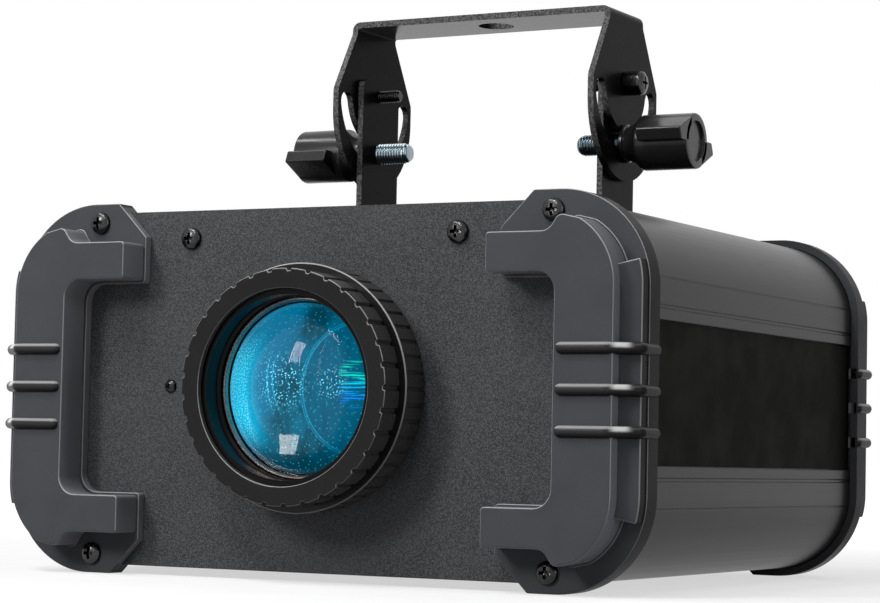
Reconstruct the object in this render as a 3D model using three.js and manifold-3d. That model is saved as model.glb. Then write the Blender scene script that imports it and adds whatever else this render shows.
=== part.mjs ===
// Water wave effect light: a boxed LED projector with a focusing lens, carried in a tilting yoke.
// Millimetres, +Z up. The lens looks along -Y and +X is on the right of someone facing the lens.
// The origin is under the middle of the bounding box. Inside the housing group, y = 0 is the outer
// face of the front panel, z = 0 is the height of the lens axis and x = 0 is the middle.

import * as THREE from 'three';
import { mergeVertices } from 'three/addons/utils/BufferGeometryUtils.js';
import Module from 'manifold-3d';

// Fits and facets
const clearance = 0.3;
const overrun = 2;
const weldDistance = 0.0005;
const facetSag = 0.45;
const largestSagShare = 0.3;
const ringSegments = 32;
const smallSegments = 16;
const leastSegments = 8;

// Housing
const bodyDepth = 250;
const bodyHalfWidth = 150.8;
const bodyHalfHeight = 77.8;
const shoulderRadius = 36.2;
const panelThickness = 2;
const coverThickness = 1.5;
const railWall = 2.5;
const railTopReach = 14.6;
const coverLap = 6.5;
const labelHalfHeight = 29.65;
const labelRecess = 3;
const labelThickness = 0.8;
const grooveHeight = 35;
const grooveWidth = 2;
const grooveDepth = 1;
const creaseAngle = 8.6;
const creaseDepth = 0.5;
const creaseWidth = 1;
const screwPortRadius = 4.2;
const screwPortBore = 1.8;
const screwPortInset = 4.8;
const screwPortSide = 2.9;
const ventCount = 7;
const ventWidth = 4;
const ventLength = 40;
const ventPitch = 12;
const ventX = 62;
const ventMargin = 62;

// Corner bumpers
const shellThickness = 3.8;
const plateThickness = 4;
const lipDepth = 5.5;
const seatSteps = 8;
const footBevel = 1.1;
const gripDepth = 19.7;
const gripWall = 2.5;
const gripBevel = 0.8;
const gripOuterReach = 31;
const gripCornerRadius = 30.5;
const gripWidth = 26;
const gripReach = 57;
const armTopDrop = 14.5;
const armHeight = 16.2;
const armFillet = 8;
const armTipRadius = 1.5;
const crestDrop = 7.6;
const crestReach = 6.4;
const crestFootReach = 1.9;
const crestFootRadius = 6;
const crestRadius = 3.5;
const crestAngle = 60;
const topFlat = 12.2;
const plateTipRise = 3.1;
const padHalfAngle = 16;
const padInnerStep = 5.7;
const padOuterStep = 9.7;
const padShy = 0.6;
const ribWidth = 5;
const ribHeight = 2.4;
const ribPitch = 16.5;
const ribCount = 3;
const ribInset = 1.3;
const ribRunIn = 2.4;
const ribRoot = 2.2;
const ribLeanShare = 0.4;

// Yoke and its fixed straps
const sheet = 3;
const pivotDepth = 158.7;
const pivotHeight = 149;
const yokeHalfWidth = 69.1;
const yokeTopRise = 34.5;
const yokeInnerBend = 1;
const yokeTopHalfWidth = 18.7;
const earShoulderRise = 29;
const earHalfWidth = 36;
const earDrop = 10;
const slotRadius = 28.4;
const slotWidth = 11;
const slotHalfAngle = 78;
const clampHoleRadius = 8.5;
const strapHalfWidth = 17.6;
const strapTopRise = 7;
const strapCorner = 4;
const strapFootLength = 26;

// Pivot screws, clamp studs and knobs
const pivotRadius = 3;
const pivotHeadRadius = 5.75;
const pivotHeadLength = 9.6;
const pivotEndReach = 10.8;
const studRadius = 5;
const studEndReach = 16.8;
const studGrip = 14;
const knobLength = 36;
const knobRadius = 13;
const knobCollarRadius = 9;
const knobCollarLength = 1.8;
const knobFlare = 9;
const wingLength = 22.4;
const wingHalfSpan = 20.6;
const wingTipHeight = 4.4;
const wingDrop = 1.2;
const wingUndercut = 2.4;
const knobRecessRadius = 9.2;
const knobRecessDepth = 1.4;
const knobBevel = 0.8;

// Lens
const gripRingFront = 29.8;
const gripRingBack = 17.8;
const gripRingWall = 4.6;
const gripRingCatch = 1.4;
const gripRingLip = 2.5;
const gripGrooves = 36;
const gripGrooveWidth = 3;
const gripGrooveDepth = 1.5;
const lockRingWall = 6.9;
const lockRingFlange = 0.8;
const lockRingFlangeLength = 1.6;
const lockGrooves = 40;
const lockGrooveWidth = 1.3;
const lockGrooveDepth = 1;
const sleeveRadius = 44.6;
const sleeveWall = 1.7;
const sleeveLength = 34;
const sleeveFlangeWidth = 11.4;
const sleeveFlange = 3;
const barrelWall = 4.2;
const barrelTail = 30;
const keyWidth = 3.8;
const keyHeight = 1.4;
const keyLength = 4;
const lensEdge = 4;
const lensSag = 13;
const lensSeatDepth = 13;
const lensLedge = 3;
const retainerLength = 2.2;
const retainerWall = 1.5;

// Optics behind the lens
const trayThickness = 1.5;
const trayInset = 5;
const trayMargin = 14;
const bracketSheet = 2;
const bracketFoot = 14;
const rippleBracketDepth = 56;
const rippleBracketRise = 42;
const rippleBracketMargin = 18;
const apertureRadius = 14;
const rippleGlassSize = 32;
const rippleGlassThickness = 3;
const effectWheelX = 36;
const effectWheelZ = -10;
const effectWheelRadius = 52;
const effectWheelThickness = 3;
const wheelGap = 4;
const hubRadius = 9;
const hubNeck = 5;
const hubFlange = 2.2;
const shaftRadius = 2;
const effectMotorRadius = 17.5;
const effectMotorLength = 15;
const motorBoss = 1.2;
const colourWheelX = -30;
const colourWheelZ = -14;
const colourWheelMargin = 15;
const colourWheelThickness = 1.5;
const lampBracketDepth = 83;
const filterHoleRadius = 10.5;
const filterRadius = 11.8;
const filterThickness = 1.1;
const colourMotorRadius = 12;
const colourMotorLength = 15;
const condenserRadius = 17.2;
const condenserEdge = 3;
const condenserSag = 7;
const holderWall = 2.8;
const holderLength = 26;
const holderLedge = 2;
const ledBoardRadius = 11;
const ledBoardThickness = 1.6;
const ledDomeRadius = 3.4;
const sinkHalfWidth = 35;
const sinkTop = 38;
const sinkBase = 5;
const finLength = 38;
const finThickness = 2;
const finCount = 9;

// Electronics on the tray
const boardThickness = 1.6;
const boardGap = 10;
const boardLength = 100;
const boardRise = 6;
const standoffRadius = 3;
const boardInset = 5;
const transformerSize = 28;
const capRadius = 6;
const capHeight = 22;
const chipSize = 12;
const chipHeight = 3;
const headerLength = 26;
const headerHeight = 9;

// Rear panel fittings
const fanSize = 60;
const fanCorner = 3;
const fanDepth = 15;
const fanRise = 12;
const fanBore = 28;
const fanHub = 13;
const fanWeb = 2.2;
const fanTipGap = 1.3;
const bladeCount = 7;
const bladeThickness = 1.6;
const bladePitchAngle = 38;
const guardWire = 0.9;
const guardRadii = [10, 18.5, 27];
const guardStandoff = 1.2;
const guardArmReach = 36;
const guardFootRadius = 2;
const guardSegments = 12;
const fittingGap = 12.5;
const socketShift = 18.4;
const inletZ = -26;
const socketPitch = 46;
const socketFlangeWidth = 49;
const socketFlangeHeight = 32;
const socketFlangeThickness = 2.3;
const socketEarRadius = 5;
const socketBodyWidth = 27.4;
const socketBodyHeight = 30.4;
const socketBodyDepth = 23;
const socketWidth = 24.3;
const socketHeight = 16.3;
const socketChamfer = 5;
const socketDepth = 17;
const socketRaise = 4.8;
const drawerHeight = 6.4;
const drawerWall = 1;
const drawerDepth = 23;
const drawerFace = 2;
const outletCoreInset = 2.6;
const pinSlotWidth = 2.4;
const pinSlotHeight = 5;
const pinPitch = 7;
const jackZ = -8;
const jackBore = 3.4;
const jackBushRadius = 5.4;
const jackNutRadius = 8;
const jackNose = 3.5;
const jackBodySize = 16;
const jackBodyDepth = 20;
const dialZ = 28;
const speedDialShare = 0.53;
const dialRadius = 8;
const dialLength = 12.5;
const dialCap = 3;
const dialFlutes = 9;
const dialFluteDepth = 0.7;
const potRadius = 8.2;
const potLength = 9;
const bushRadius = 3.4;
const bushLength = 5;
const dialShaftRadius = 2.6;
const dialShaftLength = 9;
const eyeZ = -45;
const eyeRod = 4.8;
const eyeHalfSpan = 9;
const eyeReach = 13;
const eyePlateWidth = 34;
const eyePlateHeight = 13;

// Helpers: outlines are lists of points, solids are closed bodies that can be joined and cut
const wasm = await Module();
wasm.setup();

const point = (x, y) => new THREE.Vector2(x, y);
const radians = THREE.MathUtils.degToRad;
const asCorners = (points) => points.map(({ x, y }) => [x, y]);

function turnSteps(radius, turn) {
  const step = 2 * Math.acos(1 - Math.min(facetSag / radius, largestSagShare));
  return Math.ceil(Math.abs(turn) / step);
}

function arc(centreX, centreY, radius, from, to, steps = turnSteps(radius, radians(to - from))) {
  return Array.from({ length: steps + 1 }, (_, i) => {
    const angle = radians(from + ((to - from) * i) / steps);
    return point(centreX + radius * Math.cos(angle), centreY + radius * Math.sin(angle));
  });
}

function circle(centreX, centreY, radius, steps) {
  const count = steps ?? Math.max(leastSegments, 4 * Math.ceil(turnSteps(radius, 2 * Math.PI) / 4));
  return arc(centreX, centreY, radius, 0, 360, count).slice(0, -1);
}

// A closed outline through corners [x, y, radius], each one rounded by its radius
function outline(corners) {
  return corners.flatMap(([x, y, radius = 0], i) => {
    const corner = point(x, y);
    if (radius === 0) return [corner];
    const before = point(...corners.at(i - 1)).sub(corner).normalize();
    const after = point(...corners[(i + 1) % corners.length]).sub(corner).normalize();
    const half = Math.acos(THREE.MathUtils.clamp(before.dot(after), -1, 1)) / 2;
    const centre = before.clone().add(after).setLength(radius / Math.sin(half)).add(corner);
    const start = before.clone().multiplyScalar(radius / Math.tan(half)).add(corner).sub(centre);
    const turn = Math.sign(before.cross(after)) * (half * 2 - Math.PI);
    const steps = turnSteps(radius, turn);
    return Array.from({ length: steps + 1 }, (_, k) =>
      start.clone().rotateAround(point(0, 0), (turn * k) / steps).add(centre));
  });
}

const rectangle = (x0, x1, y0, y1, radius = 0) =>
  outline([[x0, y0, radius], [x1, y0, radius], [x1, y1, radius], [x0, y1, radius]]);

// The corners of the upper half of an outline, followed by the same ones mirrored below
const mirroredBelow = (corners) => [
  ...corners, ...corners.map(([x, y, radius]) => [x, -y, radius]).reverse()];

function solid(geometry) {
  const bare = geometry.clone();
  bare.deleteAttribute('normal');
  bare.deleteAttribute('uv');
  const welded = mergeVertices(bare, weldDistance);
  const index = Array.from(welded.index.array);
  const faces = [];
  for (let i = 0; i < index.length; i += 3) {
    const face = index.slice(i, i + 3);
    if (new Set(face).size === 3) faces.push(...face);
  }
  return new wasm.Manifold(new wasm.Mesh({
    numProp: 3,
    vertProperties: Float32Array.from(welded.attributes.position.array),
    triVerts: Uint32Array.from(faces),
  }));
}

const unitX = new THREE.Vector3(1, 0, 0);
const unitY = new THREE.Vector3(0, 1, 0);
const unitZ = new THREE.Vector3(0, 0, 1);
const outlinePlanes = {
  x: new THREE.Matrix4().makeBasis(unitY, unitZ, unitX),
  y: new THREE.Matrix4().makeBasis(unitX, unitZ, unitY.clone().negate()),
  z: new THREE.Matrix4(),
};

// An outline drawn square to an axis and extruded along it, with bevelled ends if asked
function extruded(points, axis, from, to, { holes = [], bevel = 0 } = {}) {
  const shape = new THREE.Shape(points);
  shape.holes = holes.map((hole) => new THREE.Path(hole));
  const geometry = new THREE.ExtrudeGeometry(shape, {
    depth: to - from - 2 * bevel,
    bevelEnabled: bevel > 0,
    bevelSegments: 1,
    bevelThickness: bevel,
    bevelSize: bevel,
    bevelOffset: -bevel,
  });
  geometry.translate(0, 0, bevel + (axis === 'y' ? -to : from));
  return solid(geometry.applyMatrix4(outlinePlanes[axis]));
}

// A profile of [radius, station] corners turned about an axis through [x, y, z]
function turned(corners, axis, steps = ringSegments, at = [0, 0, 0]) {
  const points = corners.map(([radius, station]) => point(radius, station));
  const onAxis = points[0].x === 0;
  if (THREE.ShapeUtils.area(points) < 0) points.reverse();
  const geometry = new THREE.LatheGeometry(onAxis ? points : [...points, points[0]], steps);
  if (axis === 'x') geometry.rotateZ(-Math.PI / 2);
  if (axis === 'z') geometry.rotateX(Math.PI / 2);
  return solid(geometry.translate(...at));
}

const rod = (axis, radius, from, to, [u, v] = [0, 0], steps = undefined) =>
  extruded(circle(u, v, radius, steps), axis, from, to);

function block([x0, x1], [y0, y1], [z0, z1]) {
  const geometry = new THREE.BoxGeometry(x1 - x0, y1 - y0, z1 - z0);
  return solid(geometry.translate((x0 + x1) / 2, (y0 + y1) / 2, (z0 + z1) / 2));
}

// A closed skin over rings of points, each ring with as many points as the next
function lofted(rings) {
  const count = rings[0].length;
  const positions = rings.flat().flatMap((vertex) => vertex.toArray());
  const faces = [];
  for (let ring = 0; ring < rings.length - 1; ring += 1) {
    for (let i = 0; i < count; i += 1) {
      const next = (i + 1) % count;
      const [a, b, c, d] = [ring * count + i, ring * count + next,
        (ring + 1) * count + next, (ring + 1) * count + i];
      faces.push([a, b, c], [a, c, d]);
    }
  }
  const last = (rings.length - 1) * count;
  for (let i = 1; i < count - 1; i += 1) {
    faces.push([0, i + 1, i], [last, last + i, last + i + 1]);
  }
  const corner = (i) => new THREE.Vector3().fromArray(positions, 3 * i);
  const volume = faces.reduce((sum, [a, b, c]) =>
    sum + corner(a).dot(corner(b).cross(corner(c))), 0);
  const geometry = new THREE.BufferGeometry();
  geometry.setAttribute('position', new THREE.Float32BufferAttribute(positions, 3));
  geometry.setIndex(faces.flatMap(([a, b, c]) => (volume > 0 ? [a, b, c] : [a, c, b])));
  return solid(geometry);
}

const join = (first, ...others) => others.reduce((sum, other) => sum.add(other), first);
const cut = (first, ...others) => others.reduce((rest, other) => rest.subtract(other), first);

const housing = new THREE.Group();

function place(name, body, finish, turn = new THREE.Matrix4()) {
  const { vertProperties, triVerts } = body.getMesh();
  const geometry = new THREE.BufferGeometry();
  geometry.setAttribute('position', new THREE.BufferAttribute(vertProperties, 3));
  geometry.setIndex(new THREE.BufferAttribute(triVerts, 1));
  geometry.computeVertexNormals();
  const mesh = new THREE.Mesh(geometry, new THREE.MeshStandardMaterial(finish));
  mesh.name = name;
  mesh.applyMatrix4(turn);
  housing.add(mesh);
}

// Half turns that seat the same moulding at another corner
const halfTurn = (axis, centre) => new THREE.Matrix4().makeTranslation(centre)
  .multiply(new THREE.Matrix4().makeRotationAxis(axis, Math.PI))
  .multiply(new THREE.Matrix4().makeTranslation(centre.clone().negate()));
const middle = new THREE.Vector3(0, bodyDepth / 2, 0);
const turnedAboutLens = halfTurn(unitY, middle);
const turnedAboutWidth = halfTurn(unitX, middle);
const turnedAboutHeight = halfTurn(unitZ, middle);

// Finishes
const blackCoat = { color: 0x2c2d2f, roughness: 0.55, metalness: 0 };
const charcoalCoat = { color: 0x3b3c3e, roughness: 0.7, metalness: 0 };
const bumperPlastic = { color: 0x434446, roughness: 0.5, metalness: 0 };
const railAluminium = { color: 0x4a4b4d, roughness: 0.4, metalness: 0.6 };
const labelBlack = { color: 0x222120, roughness: 0.6, metalness: 0 };
const glossPlastic = { color: 0x141416, roughness: 0.25, metalness: 0 };
const mattPlastic = { color: 0x1c1c1e, roughness: 0.6, metalness: 0 };
const zincPlate = { color: 0xb4b8bc, roughness: 0.35, metalness: 1 };
const bareAluminium = { color: 0xa6a8aa, roughness: 0.45, metalness: 1 };
const steelPlate = { color: 0x8f9193, roughness: 0.45, metalness: 1 };
const bronzeRim = { color: 0x6a5a44, roughness: 0.4, metalness: 0.8 };
const lensGlass = { color: 0x1591bd, roughness: 0.05, metalness: 0, transparent: true, opacity: 0.8 };
const clearGlass = { color: 0xcfe3e6, roughness: 0.1, metalness: 0, transparent: true, opacity: 0.6 };
const boardGreen = { color: 0x1f5a35, roughness: 0.5, metalness: 0 };
const boardWhite = { color: 0xe8e8e2, roughness: 0.5, metalness: 0 };
const filterColours = {
  red: 0xc8342b, yellow: 0xd8b52a, green: 0x2f9a4b, cyan: 0x2aa3b8, magenta: 0xa23a8e };
const colourNames = Object.keys(filterColours);

// Shared places
const shoulderX = bodyHalfWidth - shoulderRadius;
const shoulderZ = bodyHalfHeight - shoulderRadius;
const rearPanelInner = bodyDepth - panelThickness;
const railTopX = shoulderX - railTopReach;
const screwPortX = shoulderX - screwPortSide;
const screwPortZ = bodyHalfHeight - screwPortInset;
const coverInner = bodyHalfHeight - coverThickness;
const trayHalfWidth = railTopX - trayInset;
const trayTop = clearance + trayThickness - coverInner;
const standsOnTray = trayTop + clearance;
const strapOuter = yokeHalfWidth - sheet - clearance;
const strapInner = strapOuter - sheet;
const studHeight = pivotHeight - slotRadius;

// The housing's outline, grown outwards if asked
function bodySection(grow = 0, steps = undefined) {
  const corner = arc(shoulderX, shoulderZ, shoulderRadius + grow, 0, 90, steps);
  const upper = [...corner, ...corner.map(({ x, y }) => point(-x, y)).reverse()];
  return [...upper, ...upper.map(({ x, y }) => point(-x, -y))];
}

// Front panel, with the opening that the lens sleeve passes through
function frontPanel() {
  return extruded(bodySection(), 'y', 0, panelThickness, {
    holes: [circle(0, 0, sleeveRadius + clearance, ringSegments)] });
}

// Rear panel, with a hole for each fitting
function rearPanel() {
  const socketHole = (z) => rectangle(
    inletX - socketBodyWidth / 2 - clearance, inletX + socketBodyWidth / 2 + clearance,
    z - socketBodyHeight / 2 - clearance, z + socketBodyHeight / 2 + clearance);
  return extruded(bodySection(), 'y', rearPanelInner, bodyDepth, {
    holes: [
      circle(0, fanRise, fanBore),
      socketHole(inletZ), socketHole(inletZ + socketPitch),
      circle(colourDialX, jackZ, jackBushRadius + clearance),
      circle(speedDialX, dialZ, bushRadius + clearance),
      circle(colourDialX, dialZ, bushRadius + clearance)] });
}

// Right side rail: one extrusion with a round shoulder, crease, groove, label recess and screw ports
function sideRail() {
  const inner = bodyHalfWidth - railWall;
  const recess = bodyHalfWidth - labelRecess;
  const onShoulder = (angle, depth) => {
    const reach = shoulderRadius - depth;
    return [shoulderX + reach * Math.cos(angle), shoulderZ + reach * Math.sin(angle)];
  };
  const crease = radians(creaseAngle);
  const creaseTurn = creaseWidth / 2 / shoulderRadius;
  const outerArc = arc(shoulderX, shoulderZ, shoulderRadius, 90, 2 * creaseAngle);
  const innerArc = arc(shoulderX, shoulderZ, shoulderRadius - railWall, 0, 90);
  const upper = [
    [railTopX, bodyHalfHeight],
    ...asCorners(outerArc),
    onShoulder(crease + creaseTurn, 0), onShoulder(crease, creaseDepth),
    onShoulder(crease - creaseTurn, 0), onShoulder(0, 0),
    [bodyHalfWidth, grooveHeight + grooveWidth / 2],
    [bodyHalfWidth - grooveDepth, grooveHeight + grooveWidth / 4],
    [bodyHalfWidth - grooveDepth, grooveHeight - grooveWidth / 4],
    [bodyHalfWidth, grooveHeight - grooveWidth / 2],
    [bodyHalfWidth, labelHalfHeight],
    [recess, labelHalfHeight]];
  const lining = [
    [railTopX, bodyHalfHeight - railWall],
    ...asCorners(innerArc).reverse(),
    [inner, labelHalfHeight + railWall],
    [recess - railWall, labelHalfHeight + railWall]];
  const profile = [...mirroredBelow(upper), ...mirroredBelow(lining).reverse()];
  const [front, back] = [panelThickness + clearance, rearPanelInner - clearance];
  const shell = extruded(outline(profile), 'y', front, back);
  const ports = [screwPortZ, -screwPortZ].map((z) =>
    rod('y', screwPortRadius, front, back, [screwPortX, z]));
  const bores = [screwPortZ, -screwPortZ].map((z) =>
    rod('y', screwPortBore, front - overrun, back + overrun, [screwPortX, z]));
  return cut(join(shell, ...ports), ...bores);
}

// Bare label strip in the right rail's recess
function labelPanel() {
  const seat = bodyHalfWidth - labelRecess + clearance;
  return block([seat, seat + labelThickness], [panelThickness + clearance, rearPanelInner - clearance],
    [-labelHalfHeight + clearance, labelHalfHeight - clearance]);
}

// Cover sheet between the rails, joggled under their edges
function coverSheet() {
  const edge = railTopX - clearance;
  const lapTop = bodyHalfHeight - railWall - clearance;
  const half = [
    [edge, bodyHalfHeight], [edge, lapTop], [railTopX + coverLap, lapTop],
    [railTopX + coverLap, lapTop - coverThickness], [edge - coverThickness, lapTop - coverThickness],
    [edge - coverThickness, coverInner]];
  const profile = [...half, ...half.map(([x, z]) => [-x, z]).reverse()];
  return extruded(outline(profile), 'y', panelThickness + clearance, rearPanelInner - clearance);
}

function topCover() {
  const slot = (side) => block(
    [side * strapInner - side * clearance, side * strapOuter + side * clearance]
      .sort((a, b) => a - b),
    [pivotDepth - strapHalfWidth - clearance, pivotDepth + strapHalfWidth + clearance],
    [coverInner - overrun, bodyHalfHeight + overrun]);
  return cut(coverSheet(), slot(1), slot(-1));
}

// Bottom cover, the same sheet with rows of ventilation slots
function bottomCover() {
  const vents = [-1, 1].flatMap((side) => Array.from({ length: ventCount }, (_, i) => {
    const y = rearPanelInner - ventMargin - i * ventPitch;
    return block([side * ventX - ventLength / 2, side * ventX + ventLength / 2],
      [y - ventWidth / 2, y + ventWidth / 2],
      [coverInner - overrun, bodyHalfHeight + overrun]);
  }));
  return cut(coverSheet(), ...vents);
}

// Corner bumper of the front right corner: base plate, wrapping lip, hollow C grip, pad and ribs
const gripOuterX = shoulderX + gripOuterReach;
const gripInnerX = gripOuterX - gripWidth;
const gripTipX = gripOuterX - gripReach;
const armTopZ = bodyHalfHeight - armTopDrop;
const armLowZ = armTopZ - armHeight;
const gripFace = -gripDepth;
const shellRadius = shoulderRadius + shellThickness;

function bumperBase() {
  const corners = mirroredBelow([
    [gripInnerX - footBevel, armLowZ - footBevel, armFillet],
    [gripTipX - footBevel, armLowZ - footBevel, armTipRadius],
    [gripTipX - footBevel, armTopZ + plateTipRise, armTipRadius],
    [shoulderX - topFlat, bodyHalfHeight + shellThickness, footBevel],
    ...asCorners(arc(shoulderX, shoulderZ, shellRadius, 90, 0))]);
  return extruded(outline(corners), 'y', -plateThickness - clearance, lipDepth + footBevel,
    { bevel: footBevel });
}

function gripOutline() {
  const gripCentreX = gripOuterX - gripCornerRadius;
  return outline(mirroredBelow([
    [gripInnerX, armLowZ, armFillet],
    [gripTipX, armLowZ, armTipRadius],
    [gripTipX, armTopZ, armTipRadius],
    [shoulderX + crestFootReach, armTopZ, crestFootRadius],
    [shoulderX + crestReach, bodyHalfHeight - crestDrop, crestRadius],
    ...asCorners(arc(gripCentreX, shoulderZ, gripCornerRadius, crestAngle, 0))]));
}

// The hollow that is open towards the housing, one wall inside the grip's outline
function gripCore() {
  const [tipX, outerX] = [gripTipX + gripWall, gripOuterX - gripWall];
  return outline(mirroredBelow([
    [gripInnerX + gripWall, armLowZ + gripWall], [tipX, armLowZ + gripWall],
    [tipX, armTopZ - gripWall], [outerX, armTopZ - gripWall, gripCornerRadius - gripWall]]));
}

// Pad on the bumper's side: its front slopes back to the side wall and its ends follow the corner
function bumperPad() {
  const inner = gripCornerRadius - gripBevel;
  const outer = shellRadius - padShy;
  const section = [
    [inner, gripFace + padInnerStep], [outer, gripFace + padOuterStep], [outer, 0], [inner, 0]];
  const ring = (centreZ, angle) => section.map(([reach, y]) => new THREE.Vector3(
    shoulderX + reach * Math.cos(angle), y, centreZ + reach * Math.sin(angle)));
  const turnShares = [0, 0.5, 1];
  const turns = turnShares.map((share) => radians(padHalfAngle * share));
  return lofted([
    ...turns.map((angle) => ring(-shoulderZ, -angle)).reverse(),
    ...turns.map((angle) => ring(shoulderZ, angle))]);
}

// Half-round rib that runs over the grip's face, down the pad and along the side to the lip
function bumperRib(centreZ) {
  const start = gripInnerX + ribInset;
  const side = shoulderX + shellRadius - padShy;
  const corner = gripOuterX - ribInset;
  const lean = ribHeight * ribLeanShare;
  const stations = [
    { top: [start, gripFace], out: [0, -lean], root: [start, gripFace + ribRoot] },
    { top: [start + ribRunIn, gripFace], out: [0, -ribHeight],
      root: [start + ribRunIn, gripFace + ribRoot] },
    { top: [corner, gripFace], out: [lean, -ribHeight],
      root: [corner - ribHeight, gripFace + padInnerStep] },
    { top: [side, gripFace + padOuterStep - ribHeight / 2], out: [ribHeight, -lean],
      root: [side - 2 * ribRoot, gripFace + padOuterStep + ribHeight] },
    { top: [side, lipDepth - footBevel], out: [ribHeight, 0], root: [side - ribRoot, lipDepth - footBevel] }];
  const sectionShares = [[-1, 0.2], [0, 1], [1, 0.2]];
  return lofted(stations.map(({ top, out, root }) => [
    new THREE.Vector3(root[0], root[1], centreZ - ribWidth / 2),
    ...sectionShares.map(([across, rise]) => new THREE.Vector3(
      top[0] + out[0] * rise, top[1] + out[1] * rise, centreZ + (across * ribWidth) / 2)),
    new THREE.Vector3(root[0], root[1], centreZ + ribWidth / 2)]));
}

function bumper() {
  const grip = extruded(gripOutline(), 'y', gripFace, -footBevel, { bevel: gripBevel });
  const ribs = Array.from({ length: ribCount }, (_, i) => bumperRib((i - (ribCount - 1) / 2) * ribPitch));
  const core = extruded(gripCore(), 'y', gripFace + gripWall, overrun);
  const seat = extruded(bodySection(clearance, seatSteps), 'y', -clearance, lipDepth + overrun);
  const end = block([0, shoulderX + 2 * shellRadius], [lipDepth, lipDepth + overrun],
    [-2 * bodyHalfHeight, 2 * bodyHalfHeight]);
  return cut(join(bumperBase(), grip, bumperPad(), ...ribs), core, seat, end);
}

// Yoke: a bent strap whose ears turn on the pivot screws, each with an arc slot for its clamp stud
function yoke() {
  const top = pivotHeight + yokeTopRise;
  const low = pivotHeight - earDrop - earHalfWidth;
  const band = (half, height, radius) => outline([
    [-half, low - overrun], [half, low - overrun], [half, height, radius], [-half, height, radius]]);
  const [front, back] = [pivotDepth - earHalfWidth, pivotDepth + earHalfWidth];
  const strip = cut(
    extruded(band(yokeHalfWidth, top, yokeInnerBend + sheet), 'y', front, back),
    extruded(band(yokeHalfWidth - sheet, top - sheet, yokeInnerBend), 'y', front - overrun,
      back + overrun));
  const ear = [
    [pivotDepth + yokeTopHalfWidth, top + overrun],
    [pivotDepth - yokeTopHalfWidth, top + overrun],
    [pivotDepth - yokeTopHalfWidth, pivotHeight + earShoulderRise],
    [front, pivotHeight],
    ...asCorners(arc(pivotDepth, pivotHeight - earDrop, earHalfWidth, 180, 360)),
    [back, pivotHeight],
    [pivotDepth + yokeTopHalfWidth, pivotHeight + earShoulderRise]];
  const reach = yokeHalfWidth + overrun;
  const blank = strip.intersect(extruded(outline(ear), 'x', -reach, reach));
  return cut(blank,
    extruded(arcSlot(), 'x', -reach, reach),
    rod('x', pivotRadius + clearance, -reach, reach, [pivotDepth, pivotHeight]),
    rod('z', clampHoleRadius, top - sheet - overrun, top + overrun, [0, pivotDepth]));
}

function arcSlot() {
  const half = slotWidth / 2;
  const end = (angle) => [pivotDepth + slotRadius * Math.cos(radians(angle)),
    pivotHeight + slotRadius * Math.sin(radians(angle))];
  const [first, last] = [270 - slotHalfAngle, 270 + slotHalfAngle];
  return [
    ...arc(pivotDepth, pivotHeight, slotRadius + half, first, last),
    ...arc(...end(last), half, last, last + 180).slice(1, -1),
    ...arc(pivotDepth, pivotHeight, slotRadius - half, last, first),
    ...arc(...end(first), half, first + 180, first + 360).slice(1, -1)];
}

// Right fixed strap, bent to a foot that is screwed under the top cover
function bracketStrap() {
  const footTop = coverInner - clearance;
  const [front, back] = [pivotDepth - strapHalfWidth, pivotDepth + strapHalfWidth];
  const profile = outline([
    [front, footTop - sheet], [back, footTop - sheet],
    [back, pivotHeight + strapTopRise, strapCorner], [front, pivotHeight + strapTopRise, strapCorner]]);
  const foot = block([strapOuter - strapFootLength, strapOuter], [front, back],
    [footTop - sheet, footTop]);
  return cut(join(extruded(profile, 'x', strapInner, strapOuter), foot),
    rod('x', pivotRadius + clearance, strapInner - overrun, strapOuter + overrun,
      [pivotDepth, pivotHeight]),
    rod('x', studRadius + clearance, strapInner - overrun, strapOuter + overrun,
      [pivotDepth, studHeight], smallSegments));
}

function pivotScrew() {
  const head = yokeHalfWidth + clearance;
  const crown = head + pivotHeadLength;
  const profile = [
    [0, strapInner - pivotEndReach], [pivotRadius, strapInner - pivotEndReach], [pivotRadius, head],
    [pivotHeadRadius, head], [pivotHeadRadius, crown - pivotRadius / 2],
    [pivotHeadRadius - pivotRadius / 2, crown], [0, crown]];
  return turned(profile, 'x', smallSegments, [0, pivotDepth, pivotHeight]);
}

// Right clamp stud, threaded through the strap, with its outer end in the knob
function clampStud() {
  return rod('x', studRadius, strapInner - studEndReach, yokeHalfWidth + studGrip,
    [pivotDepth, studHeight]);
}

// Right clamp knob: collar, flared neck and a round body with two tangential wings
function clampKnob() {
  const inner = yokeHalfWidth + clearance;
  const outer = inner + knobLength;
  const collar = inner + knobCollarLength;
  const body = turned([
    [0, inner], [knobCollarRadius, inner], [knobCollarRadius, collar],
    [knobRadius, inner + knobFlare], [knobRadius, outer - knobBevel],
    [knobRadius - knobBevel, outer], [0, outer]], 'x', smallSegments, [0, pivotDepth, studHeight]);
  const tangent = Math.atan2(wingTipHeight, -wingHalfSpan)
    - Math.acos(knobRadius / Math.hypot(wingTipHeight, wingHalfSpan));
  const wing = (side) => [
    [0, 0], [knobRadius * Math.cos(tangent), knobRadius * Math.sin(tangent)],
    [-wingHalfSpan, wingTipHeight], [wingUndercut - wingHalfSpan, -wingDrop], [0, -wingDrop],
  ].map(([y, z]) => [pivotDepth + side * y, studHeight + side * z]);
  const wings = [1, -1].map((side) =>
    extruded(outline(wing(side)), 'x', outer - wingLength, outer, { bevel: knobBevel }));
  return cut(join(body, ...wings),
    rod('x', knobRecessRadius, outer - knobRecessDepth, outer + overrun, [pivotDepth, studHeight]),
    rod('x', studRadius + clearance, inner - overrun, yokeHalfWidth + studGrip + clearance,
      [pivotDepth, studHeight]));
}

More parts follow.
